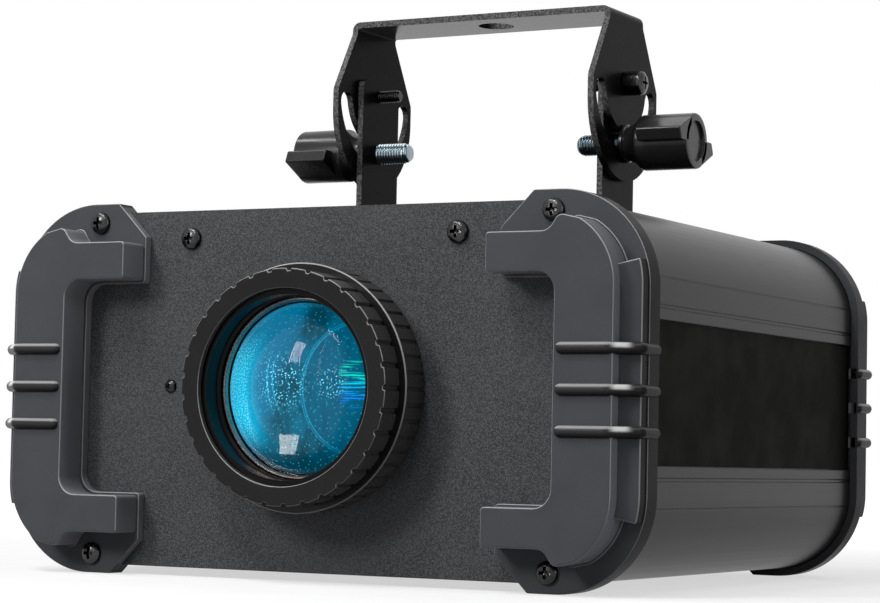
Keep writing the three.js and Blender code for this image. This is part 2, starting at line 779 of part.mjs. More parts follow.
// Grip outline of a ring: a circle with evenly spaced V-shaped grooves
function groovedCircle(radius, count, width, depth) {
  const half = width / 2 / radius;
  const groove = [[-1, 0], [0, depth], [1, 0]];
  return Array.from({ length: count }, (_, i) => (2 * Math.PI * i) / count).flatMap((angle) =>
    groove.map(([side, sink]) =>
      point(0, radius - sink).rotateAround(point(0, 0), angle + side * half)));
}

const sleeveBore = sleeveRadius - sleeveWall;
const sleeveFront = gripRingLip + clearance - gripRingFront;
const barrelRadius = sleeveBore - clearance;
const barrelBore = barrelRadius - barrelWall;
const lensRadius = barrelBore - clearance;
const gripRingRecess = sleeveRadius + clearance;
const gripRingRadius = gripRingRecess + gripRingWall;
const gripRingBore = barrelRadius - gripRingCatch;

// Fixed lens sleeve: its flange is behind the front panel, and it has a keyway for the barrel
function lensSleeve() {
  const flange = panelThickness + clearance;
  const rim = sleeveRadius + sleeveFlangeWidth;
  const body = turned([
    [sleeveBore, sleeveFront], [sleeveRadius, sleeveFront], [sleeveRadius, flange], [rim, flange],
    [rim, flange + sleeveFlange], [sleeveRadius, flange + sleeveFlange],
    [sleeveRadius, sleeveLength], [sleeveBore, sleeveLength]], 'y');
  const keyway = block([-keyWidth / 2 - clearance, keyWidth / 2 + clearance],
    [flange + sleeveFlange + overrun, sleeveLength + overrun],
    [-sleeveRadius - overrun, -sleeveBore + sleeveWall / 2]);
  return cut(body, keyway);
}

function lockRing() {
  const front = -gripRingBack + clearance;
  const bore = sleeveRadius + clearance;
  const radius = bore + lockRingWall;
  const grip = extruded(groovedCircle(radius, lockGrooves, lockGrooveWidth, lockGrooveDepth),
    'y', front, -clearance, { holes: [circle(0, 0, bore, ringSegments)] });
  const flange = turned([
    [bore, front], [radius + lockRingFlange, front],
    [radius + lockRingFlange, front + lockRingFlangeLength],
    [bore, front + lockRingFlangeLength]], 'y');
  return join(grip, flange);
}

function focusGripRing() {
  const grooved = groovedCircle(gripRingRadius, gripGrooves, gripGrooveWidth, gripGrooveDepth);
  const ring = extruded(grooved, 'y', -gripRingFront, -gripRingBack, {
    holes: [circle(0, 0, gripRingBore, ringSegments)] });
  const recess = turned([
    [gripRingBore - overrun, -gripRingFront + gripRingLip],
    [gripRingRecess, -gripRingFront + gripRingLip],
    [gripRingRecess, -gripRingBack + overrun],
    [gripRingBore - overrun, -gripRingBack + overrun]], 'y');
  return cut(ring, recess);
}

// Lens barrel: carries the glass between a ledge and the retaining ring, and slides on its key
function lensBarrel() {
  const ledge = barrelBore - lensLedge;
  const lensBack = lensEdge - lensSeatDepth + clearance;
  const body = turned([
    [barrelBore, sleeveFront], [barrelRadius, sleeveFront], [barrelRadius, barrelTail],
    [ledge, barrelTail], [ledge, lensBack], [barrelBore, lensBack]], 'y');
  const key = block([-keyWidth / 2, keyWidth / 2], [barrelTail - keyLength, barrelTail],
    [-barrelRadius - keyHeight, -barrelRadius + barrelWall / 2]);
  return join(body, key);
}

// Plano-convex glass with a flat rim, which bulges towards -Y from the plane y = front
function convexLens(radius, rim, edge, sag, front, steps, rings) {
  const dish = radius - rim;
  const ball = (dish * dish + sag * sag) / (2 * sag);
  const reach = THREE.MathUtils.radToDeg(Math.asin(dish / ball));
  const dome = arc(0, front - sag + ball, ball, -90, -90 + reach, rings);
  dome[0].x = 0;
  return turned([
    ...asCorners(dome), [radius, front], [radius, front + edge], [0, front + edge]], 'y', steps);
}

function lensRetainer() {
  const back = -lensSeatDepth - clearance;
  const bore = lensRadius - retainerWall;
  return turned([
    [bore, back - retainerLength], [lensRadius, back - retainerLength], [lensRadius, back],
    [bore, back]], 'y');
}

// Optics tray on the bottom cover
function opticsTray() {
  return block([-trayHalfWidth, trayHalfWidth], [trayMargin, rearPanelInner - trayMargin],
    [trayTop - trayThickness, trayTop]);
}

function opticsBracket(left, right, front, holes) {
  const wall = rectangle(left, right, standsOnTray, rippleBracketRise);
  const foot = block([left, right], [front, front + bracketFoot],
    [standsOnTray, standsOnTray + bracketSheet]);
  return join(extruded(wall, 'y', front, front + bracketSheet, { holes }), foot);
}

const shaftBore = shaftRadius + clearance;

function rippleBracket() {
  return opticsBracket(-rippleGlassSize / 2 - rippleBracketMargin,
    effectWheelX + effectMotorRadius + rippleBracketMargin, rippleBracketDepth,
    [circle(0, 0, apertureRadius), circle(effectWheelX, effectWheelZ, shaftBore + motorBoss)]);
}

function lampBracket() {
  return opticsBracket(colourWheelX - colourMotorRadius - rippleBracketMargin, sinkHalfWidth,
    lampBracketDepth,
    [circle(0, 0, apertureRadius), circle(colourWheelX, colourWheelZ, shaftBore + motorBoss)]);
}

function fixedRippleGlass() {
  const half = rippleGlassSize / 2;
  const back = rippleBracketDepth - clearance;
  return block([-half, half], [back - rippleGlassThickness, back], [-half, half]);
}

const effectWheelFront = rippleBracketDepth + bracketSheet + wheelGap;
const colourWheelBack = lampBracketDepth - wheelGap;
const colourWheelFront = colourWheelBack - colourWheelThickness;
const colourOrbit = Math.hypot(colourWheelX, colourWheelZ);

function effectWheel() {
  return rod('y', effectWheelRadius, effectWheelFront, effectWheelFront + effectWheelThickness,
    [effectWheelX, effectWheelZ]).subtract(
    rod('y', hubNeck + clearance, effectWheelFront - overrun,
      effectWheelFront + effectWheelThickness + overrun, [effectWheelX, effectWheelZ], smallSegments));
}

// A hub that clamps a wheel between two flanges, with the shaft that leaves towards its motor
function wheelHub(front, back, shaftEnd, x, z) {
  const [inner, outer] = [front - clearance, back + clearance];
  const body = turned([
    [0, inner - hubFlange], [hubRadius, inner - hubFlange], [hubRadius, inner], [hubNeck, inner],
    [hubNeck, outer], [hubRadius, outer], [hubRadius, outer + hubFlange], [0, outer + hubFlange]],
  'y', smallSegments, [x, 0, z]);
  return join(body, rod('y', shaftRadius, Math.min(shaftEnd, front), Math.max(shaftEnd, back), [x, z]));
}

// A round motor whose face is at one end, with a boss and a blind bore for the wheel's shaft
function wheelMotor(radius, face, length, way, x, z) {
  const stations = (from, to) => [Math.min(from, to), Math.max(from, to)];
  const can = rod('y', radius, ...stations(face, face + way * length), [x, z]);
  const boss = rod('y', shaftBore + motorBoss - clearance,
    ...stations(face, face - way * (bracketSheet + clearance)), [x, z]);
  const bore = rod('y', shaftBore,
    ...stations(face - way * (bracketSheet + overrun), face + way * (length / 2)), [x, z]);
  return cut(join(can, boss), bore);
}

const effectMotorFace = rippleBracketDepth - clearance;
const colourMotorFace = lampBracketDepth + bracketSheet + clearance;

function colourWheel() {
  const radius = colourOrbit + colourWheelMargin;
  const holes = [circle(colourWheelX, colourWheelZ, hubNeck + clearance, smallSegments),
    ...filterPlaces().map(([x, z]) => circle(x, z, filterHoleRadius))];
  return extruded(circle(colourWheelX, colourWheelZ, radius), 'y', colourWheelFront, colourWheelBack,
    { holes });
}

// The wheel's openings: the first one is open and lies on the lens axis
function filterPlaces() {
  const start = Math.atan2(-colourWheelZ, -colourWheelX);
  const count = colourNames.length + 1;
  return Array.from({ length: count }, (_, i) => {
    const angle = start + (2 * Math.PI * i) / count;
    return [colourWheelX + colourOrbit * Math.cos(angle), colourWheelZ + colourOrbit * Math.sin(angle)];
  });
}

function colourFilter(index) {
  const front = colourWheelBack + clearance;
  return rod('y', filterRadius, front, front + filterThickness, filterPlaces()[index + 1]);
}

const holderFront = lampBracketDepth + bracketSheet + clearance;
const sinkFront = holderFront + holderLength + clearance;

function condenserHolder() {
  const inner = condenserRadius + clearance;
  const seat = holderFront + condenserSag + condenserEdge + holderLedge;
  return turned([
    [inner, holderFront], [inner + holderWall, holderFront],
    [inner + holderWall, holderFront + holderLength],
    [ledBoardRadius + clearance, holderFront + holderLength],
    [ledBoardRadius + clearance, seat], [inner, seat]], 'y', smallSegments);
}

function condenserLens() {
  const front = holderFront + condenserSag + holderLedge - clearance;
  return convexLens(condenserRadius, clearance, condenserEdge, condenserSag, front, smallSegments, 4);
}

function ledModule() {
  const back = sinkFront - clearance;
  const face = back - ledBoardThickness;
  const dome = arc(0, face, ledDomeRadius, 0, -90, 3);
  dome.at(-1).x = 0;
  return turned([[0, back], [ledBoardRadius, back], [ledBoardRadius, face], ...asCorners(dome)], 'y',
    smallSegments);
}

function heatSink() {
  const base = block([-sinkHalfWidth, sinkHalfWidth], [sinkFront, sinkFront + sinkBase],
    [standsOnTray, sinkTop]);
  const pitch = (2 * sinkHalfWidth - finThickness) / (finCount - 1);
  const fins = Array.from({ length: finCount }, (_, i) => {
    const x = -sinkHalfWidth + i * pitch;
    return block([x, x + finThickness], [sinkFront, sinkFront + sinkBase + finLength],
      [standsOnTray, sinkTop]);
  });
  return join(base, ...fins);
}

// A circuit board on four standoffs, from x = inner outwards, with its parts on top
function circuitBoard(side) {
  const inner = sinkHalfWidth + boardGap;
  const back = rearPanelInner - trayMargin - boardInset - socketBodyDepth;
  const bottom = standsOnTray + boardRise;
  const span = (from, to) => [side * from, side * to].sort((a, b) => a - b);
  const middle = (inner + trayHalfWidth) / 2;
  const centred = (size) => span(middle - size / 2, middle + size / 2);
  const board = block(span(inner, trayHalfWidth), [back - boardLength, back],
    [bottom, bottom + boardThickness]);
  const feet = [inner + boardInset, trayHalfWidth - boardInset].flatMap((x) =>
    [back - boardLength + boardInset, back - boardInset].map((y) =>
      rod('z', standoffRadius, standsOnTray, bottom + boardThickness, [side * x, y])));
  return { body: join(board, ...feet), top: bottom + boardThickness, middle, back, centred };
}

function powerSupplyBoard() {
  const { body, top, middle, back, centred } = circuitBoard(1);
  const transformer = block(centred(transformerSize),
    [back - 2 * transformerSize, back - transformerSize], [top - boardThickness, top + transformerSize]);
  const caps = [1, 2].map((place) => rod('z', capRadius, top - boardThickness, top + capHeight,
    [middle, back - 2 * transformerSize - place * 3 * capRadius]));
  return join(body, transformer, ...caps);
}

function controlBoard() {
  const { body, top, back, centred } = circuitBoard(-1);
  const chip = block(centred(chipSize), [back - 3 * chipSize, back - 2 * chipSize],
    [top - boardThickness, top + chipHeight]);
  const headers = [0, 1].map((row) => block(centred(headerLength),
    [back - boardLength + (2 * row + 1) * boardInset, back - boardLength + (2 * row + 2) * boardInset],
    [top - boardThickness, top + headerHeight]));
  return join(body, chip, ...headers);
}

// Rear fittings stand between the fan and the bumpers; the remote jack is under the colour dial
const fanEdge = fanSize / 2;
const inletX = (bodyHalfWidth + fanEdge) / 2 - socketShift;
const colourDialX = footBevel + fittingGap + dialRadius - gripInnerX;
const speedDialX = colourDialX - speedDialShare * (colourDialX + fanEdge);
const eyeX = footBevel + fittingGap + eyePlateWidth / 2 - gripTipX;

// Mains sockets: a flange outside the rear panel and a body that reaches in
const socketFace = bodyDepth + clearance + socketFlangeThickness;

function socketShell(z) {
  const [halfWidth, halfHeight] = [socketBodyWidth / 2, socketBodyHeight / 2];
  const face = socketFace - socketFlangeThickness;
  const [earReach, halfFlange] = [socketFlangeWidth / 2, socketFlangeHeight / 2];
  const flange = extruded(outline([
    [inletX - earReach, z, socketEarRadius], [inletX - halfWidth, z - halfFlange],
    [inletX + halfWidth, z - halfFlange], [inletX + earReach, z, socketEarRadius],
    [inletX + halfWidth, z + halfFlange], [inletX - halfWidth, z + halfFlange]]), 'y', face,
  face + socketFlangeThickness);
  const body = block([inletX - halfWidth, inletX + halfWidth],
    [bodyDepth - socketBodyDepth, face + socketFlangeThickness / 2],
    [z - halfHeight, z + halfHeight]);
  return join(flange, body);
}

function socketOutline(z, shrink) {
  const [halfWidth, halfHeight] = [socketWidth / 2 - shrink, socketHeight / 2 - shrink];
  return outline([
    [inletX - halfWidth, z - halfHeight], [inletX + halfWidth, z - halfHeight],
    [inletX + halfWidth, z + halfHeight - socketChamfer],
    [inletX + halfWidth - socketChamfer, z + halfHeight],
    [inletX - halfWidth + socketChamfer, z + halfHeight],
    [inletX - halfWidth, z + halfHeight - socketChamfer]]);
}

const drawerTop = inletZ + socketRaise - socketHeight / 2 - drawerWall;

function mainsInlet() {
  const well = extruded(socketOutline(inletZ + socketRaise, 0), 'y', socketFace - socketDepth,
    socketFace + overrun);
  const drawerSlot = block(
    [inletX - socketWidth / 2, inletX + socketWidth / 2],
    [socketFace - drawerDepth - clearance, socketFace + overrun],
    [drawerTop - drawerHeight, drawerTop]);
  return cut(socketShell(inletZ), well, drawerSlot);
}

// Fuse drawer with two troughs, for the fuse in use and its spare
function fuseDrawer() {
  const halfWidth = socketWidth / 2 - clearance;
  const [low, high] = [drawerTop - drawerHeight + clearance, drawerTop - clearance];
  const tray = block([inletX - halfWidth, inletX + halfWidth],
    [socketFace - drawerDepth, socketFace + clearance + drawerFace], [low, high]);
  const troughLength = drawerDepth - 2 * drawerWall;
  const troughs = [-1, 1].map((side) => block(
    [inletX + side * (halfWidth / 2) - halfWidth / 2 + drawerWall,
      inletX + side * (halfWidth / 2) + halfWidth / 2 - drawerWall],
    [socketFace - drawerDepth + drawerWall, socketFace - drawerDepth + drawerWall + troughLength],
    [low + drawerWall, high + overrun]));
  const lip = block([inletX - halfWidth / 2, inletX + halfWidth / 2],
    [socketFace + clearance, socketFace + clearance + drawerFace + drawerWall], [low, low + drawerWall]);
  return join(cut(tray, ...troughs), lip);
}

function mainsOutlet() {
  const z = inletZ + socketPitch;
  const groove = cut(
    extruded(socketOutline(z, -outletCoreInset / 2), 'y', socketFace - socketDepth, socketFace + overrun),
    extruded(socketOutline(z, outletCoreInset / 2), 'y', socketFace - socketDepth - overrun,
      socketFace + 2 * overrun));
  const slot = (x, up) => block(
    [x - pinSlotWidth / 2, x + pinSlotWidth / 2], [socketFace - socketDepth, socketFace + overrun],
    [z + up - pinSlotHeight / 2, z + up + pinSlotHeight / 2]);
  return cut(socketShell(z), groove, slot(inletX - pinPitch, -pinSlotWidth / 2),
    slot(inletX + pinPitch, -pinSlotWidth / 2), slot(inletX, pinSlotWidth / 2));
}

function remoteJack() {
  const x = colourDialX;
  const body = block([x - jackBodySize / 2, x + jackBodySize / 2],
    [rearPanelInner - clearance - jackBodyDepth, rearPanelInner - clearance],
    [jackZ - jackBodySize / 2, jackZ + jackBodySize / 2]);
  const bush = rod('y', jackBushRadius, rearPanelInner - jackBodyDepth / 2, bodyDepth + jackNose,
    [x, jackZ]);
  const nut = extruded(circle(x, jackZ, jackNutRadius, 6), 'y',
    bodyDepth + clearance, bodyDepth + jackNose - clearance);
  return cut(join(body, bush, nut),
    rod('y', jackBore, rearPanelInner - jackBodyDepth + railWall, bodyDepth + jackNose + overrun,
      [x, jackZ]));
}

// Cooling fan behind the rear panel: frame with a hub on four arms, rotor, and a wire guard outside
const fanBack = rearPanelInner - clearance;
const fanFront = fanBack - fanDepth;

function fanFrame() {
  const half = fanSize / 2;
  const shell = extruded(rectangle(-half, half, fanRise - half, fanRise + half, fanCorner), 'y',
    fanFront, fanBack, { holes: [circle(0, fanRise, fanBore)] });
  const hub = rod('y', fanHub, fanFront, fanFront + fanWeb, [0, fanRise]);
  const reach = fanBore + (half - fanBore) / 2;
  const armHalf = fanWeb;
  const arms = [
    block([-reach, reach], [fanFront, fanFront + fanWeb], [fanRise - armHalf, fanRise + armHalf]),
    block([-armHalf, armHalf], [fanFront, fanFront + fanWeb], [fanRise - reach, fanRise + reach])];
  return join(shell, hub, ...arms);
}

function fanRotor() {
  const front = fanFront + fanWeb + clearance;
  const back = fanBack - clearance;
  const reach = fanBore - fanTipGap;
  const hub = rod('y', fanHub, front, back, [0, fanRise]);
  const chord = back - front - bladeThickness;
  const blades = Array.from({ length: bladeCount }, (_, i) => {
    const blade = new THREE.BoxGeometry(chord, bladeThickness, reach - fanHub / 2);
    blade.rotateZ(radians(90 - bladePitchAngle));
    blade.translate(0, (front + back) / 2, (reach + fanHub / 2) / 2);
    blade.rotateY((2 * Math.PI * i) / bladeCount);
    return solid(blade.translate(0, 0, fanRise));
  });
  const swept = rod('y', reach, front, back, [0, fanRise]);
  return join(hub, ...blades).intersect(swept);
}

function fanGuard() {
  const face = bodyDepth + clearance + guardStandoff + guardWire;
  const wire = (radius) => turned([
    [radius - guardWire, face - guardWire], [radius + guardWire, face - guardWire],
    [radius + guardWire, face + guardWire], [radius - guardWire, face + guardWire]],
  'y', guardSegments, [0, 0, fanRise]);
  const arm = (angle) => {
    const bar = new THREE.BoxGeometry(2 * guardArmReach, 2 * guardWire, 2 * guardWire);
    return solid(bar.rotateY(angle).translate(0, face + guardWire, fanRise));
  };
  const feet = [45, 135, 225, 315].map((angle) => {
    const [x, z] = [guardArmReach * Math.cos(radians(angle)), guardArmReach * Math.sin(radians(angle))];
    return rod('y', guardFootRadius, bodyDepth + clearance, face + 2 * guardWire, [x, fanRise + z]);
  });
  return join(arm(Math.PI / 4), arm(-Math.PI / 4), ...guardRadii.map(wire), ...feet);
}

// Control dials: a pot inside, with its bush and shaft through the panel, and a fluted knob on it
function dialPot(x) {
  const face = rearPanelInner - clearance;
  return join(
    rod('y', potRadius, face - potLength, face, [x, dialZ]),
    rod('y', bushRadius, face - potLength / 2, bodyDepth + bushLength, [x, dialZ]),
    rod('y', dialShaftRadius, face - potLength / 2, bodyDepth + bushLength + dialShaftLength,
      [x, dialZ]));
}

function dialKnob(x) {
  const front = bodyDepth + bushLength + clearance;
  const fluted = groovedCircle(dialRadius, dialFlutes, (Math.PI * dialRadius) / dialFlutes,
    dialFluteDepth).map((vertex) => vertex.add(point(x, dialZ)));
  const skirt = rod('y', dialRadius, bodyDepth + clearance, bodyDepth + clearance + dialCap, [x, dialZ]);
  const end = bodyDepth + clearance + dialLength;
  return cut(join(skirt, extruded(fluted, 'y', bodyDepth + clearance + dialCap / 2, end)),
    rod('y', dialShaftRadius + clearance, bodyDepth - overrun, front + dialShaftLength, [x, dialZ]),
    rod('y', bushRadius + clearance, bodyDepth - overrun, front, [x, dialZ]));
}

// Safety eye: a bent rod on a plate, riveted to the rear panel
function safetyEye() {
  const face = bodyDepth + clearance;
  const bend = eyeHalfSpan - eyeRod / 2;
  const [outer, inner] = [eyeHalfSpan + eyeRod / 2, eyeHalfSpan - eyeRod / 2];
  const [outerTop, innerTop] = [face + eyeReach, face + eyeReach - eyeRod];
  const bow = outline([
    [eyeX - outer, face], [eyeX - outer, outerTop, bend + eyeRod / 2],
    [eyeX + outer, outerTop, bend + eyeRod / 2], [eyeX + outer, face],
    [eyeX + inner, face], [eyeX + inner, innerTop, bend - eyeRod / 2],
    [eyeX - inner, innerTop, bend - eyeRod / 2], [eyeX - inner, face]]);
  const plate = block([eyeX - eyePlateWidth / 2, eyeX + eyePlateWidth / 2],
    [face, face + coverThickness], [eyeZ - eyePlateHeight / 2, eyeZ + eyePlateHeight / 2]);
  const bent = extruded(bow, 'z', eyeZ - eyeRod / 2, eyeZ + eyeRod / 2, { bevel: eyeRod / 4 });
  return join(bent, plate);
}

// The assembly
place('front_panel', frontPanel(), charcoalCoat);
place('rear_panel', rearPanel(), charcoalCoat);
place('top_cover', topCover(), blackCoat);
place('bottom_cover', bottomCover(), blackCoat, turnedAboutLens);
place('side_rail_right', sideRail(), railAluminium);
place('side_rail_left', sideRail(), railAluminium, turnedAboutLens);
place('label_panel_right', labelPanel(), labelBlack);
place('label_panel_left', labelPanel(), labelBlack, turnedAboutLens);
place('bumper_front_right', bumper(), bumperPlastic);
place('bumper_front_left', bumper(), bumperPlastic, turnedAboutLens);
place('bumper_rear_right', bumper(), bumperPlastic, turnedAboutWidth);
place('bumper_rear_left', bumper(), bumperPlastic, turnedAboutHeight);

const yokeMiddle = new THREE.Vector3(0, pivotDepth, 0);
const turnedAboutYoke = halfTurn(unitZ, yokeMiddle);
place('bracket_strap_right', bracketStrap(), blackCoat);
place('bracket_strap_left', bracketStrap(), blackCoat, turnedAboutYoke);
place('pivot_screw_right', pivotScrew(), blackCoat);
place('pivot_screw_left', pivotScrew(), blackCoat, turnedAboutYoke);
place('yoke', yoke(), blackCoat);
place('clamp_stud_right', clampStud(), zincPlate);
place('clamp_stud_left', clampStud(), zincPlate, turnedAboutYoke);
place('clamp_knob_right', clampKnob(), glossPlastic);
place('clamp_knob_left', clampKnob(), glossPlastic, turnedAboutYoke);

place('lens_sleeve', lensSleeve(), mattPlastic);
place('lock_ring', lockRing(), glossPlastic);
place('focus_ring', focusGripRing(), glossPlastic);
place('lens_barrel', lensBarrel(), mattPlastic);
place('objective_lens', convexLens(lensRadius, retainerWall + clearance, lensEdge, lensSag,
  -lensSeatDepth, ringSegments, 4), lensGlass);
place('lens_retainer', lensRetainer(), bronzeRim);

place('optics_tray', opticsTray(), steelPlate);
place('ripple_bracket', rippleBracket(), steelPlate);
place('fixed_ripple_glass', fixedRippleGlass(), clearGlass);
place('effect_wheel', effectWheel(), clearGlass);
place('effect_wheel_hub', wheelHub(effectWheelFront, effectWheelFront + effectWheelThickness,
  effectMotorFace - effectMotorLength / 2 + clearance, effectWheelX, effectWheelZ), steelPlate);
place('effect_motor', wheelMotor(effectMotorRadius, effectMotorFace, effectMotorLength, -1,
  effectWheelX, effectWheelZ), steelPlate);
place('lamp_bracket', lampBracket(), steelPlate);
place('colour_wheel', colourWheel(), bareAluminium);
place('colour_wheel_hub', wheelHub(colourWheelFront, colourWheelBack,
  colourMotorFace + colourMotorLength / 2 - clearance, colourWheelX, colourWheelZ), steelPlate);
place('colour_motor', wheelMotor(colourMotorRadius, colourMotorFace, colourMotorLength, 1,
  colourWheelX, colourWheelZ), steelPlate);
colourNames.forEach((name, index) => place(`filter_${name}`, colourFilter(index),
  { color: filterColours[name], roughness: 0.1, metalness: 0, transparent: true, opacity: 0.7 }));
place('condenser_holder', condenserHolder(), mattPlastic);
place('condenser_lens', condenserLens(), clearGlass);
place('led_module', ledModule(), boardWhite);
place('heat_sink', heatSink(), bareAluminium);
place('power_supply_board', powerSupplyBoard(), boardGreen);
place('control_board', controlBoard(), boardGreen);

place('mains_inlet', mainsInlet(), mattPlastic);
place('fuse_drawer', fuseDrawer(), glossPlastic);
place('mains_outlet', mainsOutlet(), mattPlastic);
place('remote_jack', remoteJack(), mattPlastic);
place('fan_frame', fanFrame(), mattPlastic);
place('fan_rotor', fanRotor(), mattPlastic);
place('fan_guard', fanGuard(), zincPlate);
place('speed_pot', dialPot(speedDialX), steelPlate);
place('speed_knob', dialKnob(speedDialX), glossPlastic);
place('colour_pot', dialPot(colourDialX), steelPlate);
place('colour_knob', dialKnob(colourDialX), glossPlastic);
place('safety_eye', safetyEye(), zincPlate);

const frontEnd = -gripRingFront;
const rearEnd = bodyDepth + gripDepth + ribHeight;
housing.position.set(0, -(frontEnd + rearEnd) / 2, bodyHalfHeight + shellThickness);

const waterWaveLight = new THREE.Group();
waterWaveLight.add(housing);

export default waterWaveLight;
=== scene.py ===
"""Looks of the water wave effect light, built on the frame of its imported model.

Drawing sizes are millimetres in the housing's own frame: y = 0 is the outer face of the front
panel, z = 0 the height of the lens axis and x = 0 the middle. The lens looks along -Y.
"""

import logging
import math
from dataclasses import dataclass, field
from enum import Enum
from typing import Callable, Sequence

import bpy
from mathutils import Matrix, Vector


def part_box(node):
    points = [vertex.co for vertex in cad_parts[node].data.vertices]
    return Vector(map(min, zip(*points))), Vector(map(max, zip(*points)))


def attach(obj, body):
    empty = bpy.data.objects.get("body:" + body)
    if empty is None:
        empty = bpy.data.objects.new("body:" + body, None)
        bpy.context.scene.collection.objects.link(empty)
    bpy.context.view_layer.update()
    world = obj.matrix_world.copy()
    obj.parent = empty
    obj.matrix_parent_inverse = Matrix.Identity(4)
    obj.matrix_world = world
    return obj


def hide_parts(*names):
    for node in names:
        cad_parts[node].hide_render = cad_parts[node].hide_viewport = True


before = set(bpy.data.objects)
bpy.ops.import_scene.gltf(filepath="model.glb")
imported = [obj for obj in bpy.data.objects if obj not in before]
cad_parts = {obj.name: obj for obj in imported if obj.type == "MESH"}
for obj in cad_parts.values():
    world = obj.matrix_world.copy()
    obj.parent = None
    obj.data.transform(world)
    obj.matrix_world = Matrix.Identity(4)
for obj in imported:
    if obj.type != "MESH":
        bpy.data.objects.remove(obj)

log = logging.getLogger("water_wave_light")

MM = 0.001
FIT = 0.3
WELD = 2e-6
SQUARE_ON = 0.9
EVEN = (1.0, 1.0, 1.0)
Point = tuple[float, float]
Spot = tuple[float, float, float]
Corner = Point | Spot
Colour = tuple[float, float, float, float]
Material = bpy.types.Material
Piece = bpy.types.Object
Socket = bpy.types.NodeSocket

PANEL_LOW, PANEL_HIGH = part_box("front_panel")
ZERO = Vector((0.0, PANEL_LOW.y, (PANEL_LOW.z + PANEL_HIGH.z) / 2))


def at(x: float, y: float, z: float) -> Vector:
    """Turn a drawing point in millimetres into a point of the frame.

    Args:
        x: Across, from the middle.
        y: Depth behind the front panel's outer face.
        z: Height over the lens axis.

    Returns:
        The point in metres.
    """
    return ZERO + Vector((x, y, z)) * MM


def drawn_box(node: str) -> tuple[Vector, Vector]:
    """Give a solid's corners in drawing millimetres.

    Args:
        node: Name of the solid.

    Returns:
        Lowest and highest corner.
    """
    low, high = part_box(node)
    return (low - ZERO) / MM, (high - ZERO) / MM


class Axis(Enum):
    """The axis that an outline is square to."""

    X = 0
    Y = 1
    Z = 2

    def lay(self, u: float, v: float, station: float) -> Vector:
        """Place an outline point.

        Args:
            u: First coordinate in the outline's plane.
            v: Second coordinate in the outline's plane.
            station: Place along the axis.

        Returns:
            The point in the frame, in metres.
        """
        spot = {
            Axis.X: (station, u, v),
            Axis.Y: (u, station, v),
            Axis.Z: (u, v, station),
        }[self]
        return at(*spot)

    @property
    def way(self) -> Vector:
        """Unit vector along the axis."""
        return Vector([1.0 if i == self.value else 0.0 for i in range(3)])


class Side(Enum):
    """Which side of the housing a piece is on."""

    RIGHT = 1
    LEFT = -1

    @property
    def word(self) -> str:
        """The side's name as the pieces' names use it."""
        return self.name.lower()


# Outlines


def arc(centre: Point, radius: float, start: float, end: float, steps: int) -> list[Point]:
    """Make the points of an arc.

    Args:
        centre: Middle of the arc.
        radius: Its radius.
        start: First angle in degrees.
        end: Last angle in degrees.
        steps: Number of chords.

    Returns:
        The points, first and last included.
    """
    turns = [math.radians(start + (end - start) * i / steps) for i in range(steps + 1)]
    return [(centre[0] + radius * math.cos(a), centre[1] + radius * math.sin(a)) for a in turns]


def circle(centre: Point, radius: float, steps: int = 64) -> list[Point]:
    """Make the points of a full circle, with none repeated."""
    return arc(centre, radius, 0, 360, steps)[:-1]


def rounded(corners: Sequence[Corner], steps: int = 6) -> list[Point]:
    """Round the corners of a closed outline.

    Args:
        corners: Corners as (x, y) or (x, y, radius).
        steps: Chords in each rounded corner.

    Returns:
        The outline's points.
    """
    points: list[Point] = []
    for i, corner in enumerate(corners):
        here = Vector(corner[:2])
        radius = corner[2] if len(corner) > 2 else 0.0
        before = Vector(corners[i - 1][:2]) - here
        after = Vector(corners[(i + 1) % len(corners)][:2]) - here
        if radius <= 0 or before.length < 1e-6 or after.length < 1e-6:
            points.append((here.x, here.y))
            continue
        before.normalize()
        after.normalize()
        half = before.angle(after) / 2
        centre = here + (before + after).normalized() * (radius / math.sin(half))
        first = here + before * (radius / math.tan(half)) - centre
        last = here + after * (radius / math.tan(half)) - centre
        turn = first.angle_signed(last) * -1
        for k in range(steps + 1):
            spoke = first.copy()
            spoke.rotate(Matrix.Rotation(turn * k / steps, 2))
            points.append((centre.x + spoke.x, centre.y + spoke.y))
    return points


def with_mirror(corners: Sequence[Corner]) -> list[Corner]:
    """Follow the corners of an upper half by the same ones below."""
    below = [(c[0], -c[1], *c[2:]) for c in reversed(corners)]
    return [*corners, *below]


def box_outline(u0: float, u1: float, v0: float, v1: float, radius: float = 0.0) -> list[Point]:
    """Make a rectangle's outline.

    Args:
        u0: Lowest first coordinate.
        u1: Highest first coordinate.
        v0: Lowest second coordinate.
        v1: Highest second coordinate.
        radius: Radius of its corners.

    Returns:
        The outline's points.
    """
    return rounded([(u0, v0, radius), (u1, v0, radius), (u1, v1, radius), (u0, v1, radius)])


# Modelling steps


def release() -> None:
    """Leave edit mode and deselect everything."""
    active = bpy.context.view_layer.objects.active
    if active and active.mode != "OBJECT":
        bpy.ops.object.mode_set(mode="OBJECT")
    bpy.ops.object.select_all(action="DESELECT")


def take(piece: Piece) -> None:
    """Select one piece alone and make it active."""
    release()
    piece.select_set(True)
    bpy.context.view_layer.objects.active = piece


def edit(piece: Piece, mode: str = "VERT") -> None:
    """Open a piece in edit mode with nothing selected.

    Args:
        piece: The piece.
        mode: Select mode, VERT, EDGE or FACE.
    """
    take(piece)
    bpy.ops.object.mode_set(mode="EDIT")
    bpy.ops.mesh.select_mode(type=mode)
    bpy.ops.mesh.select_all(action="DESELECT")


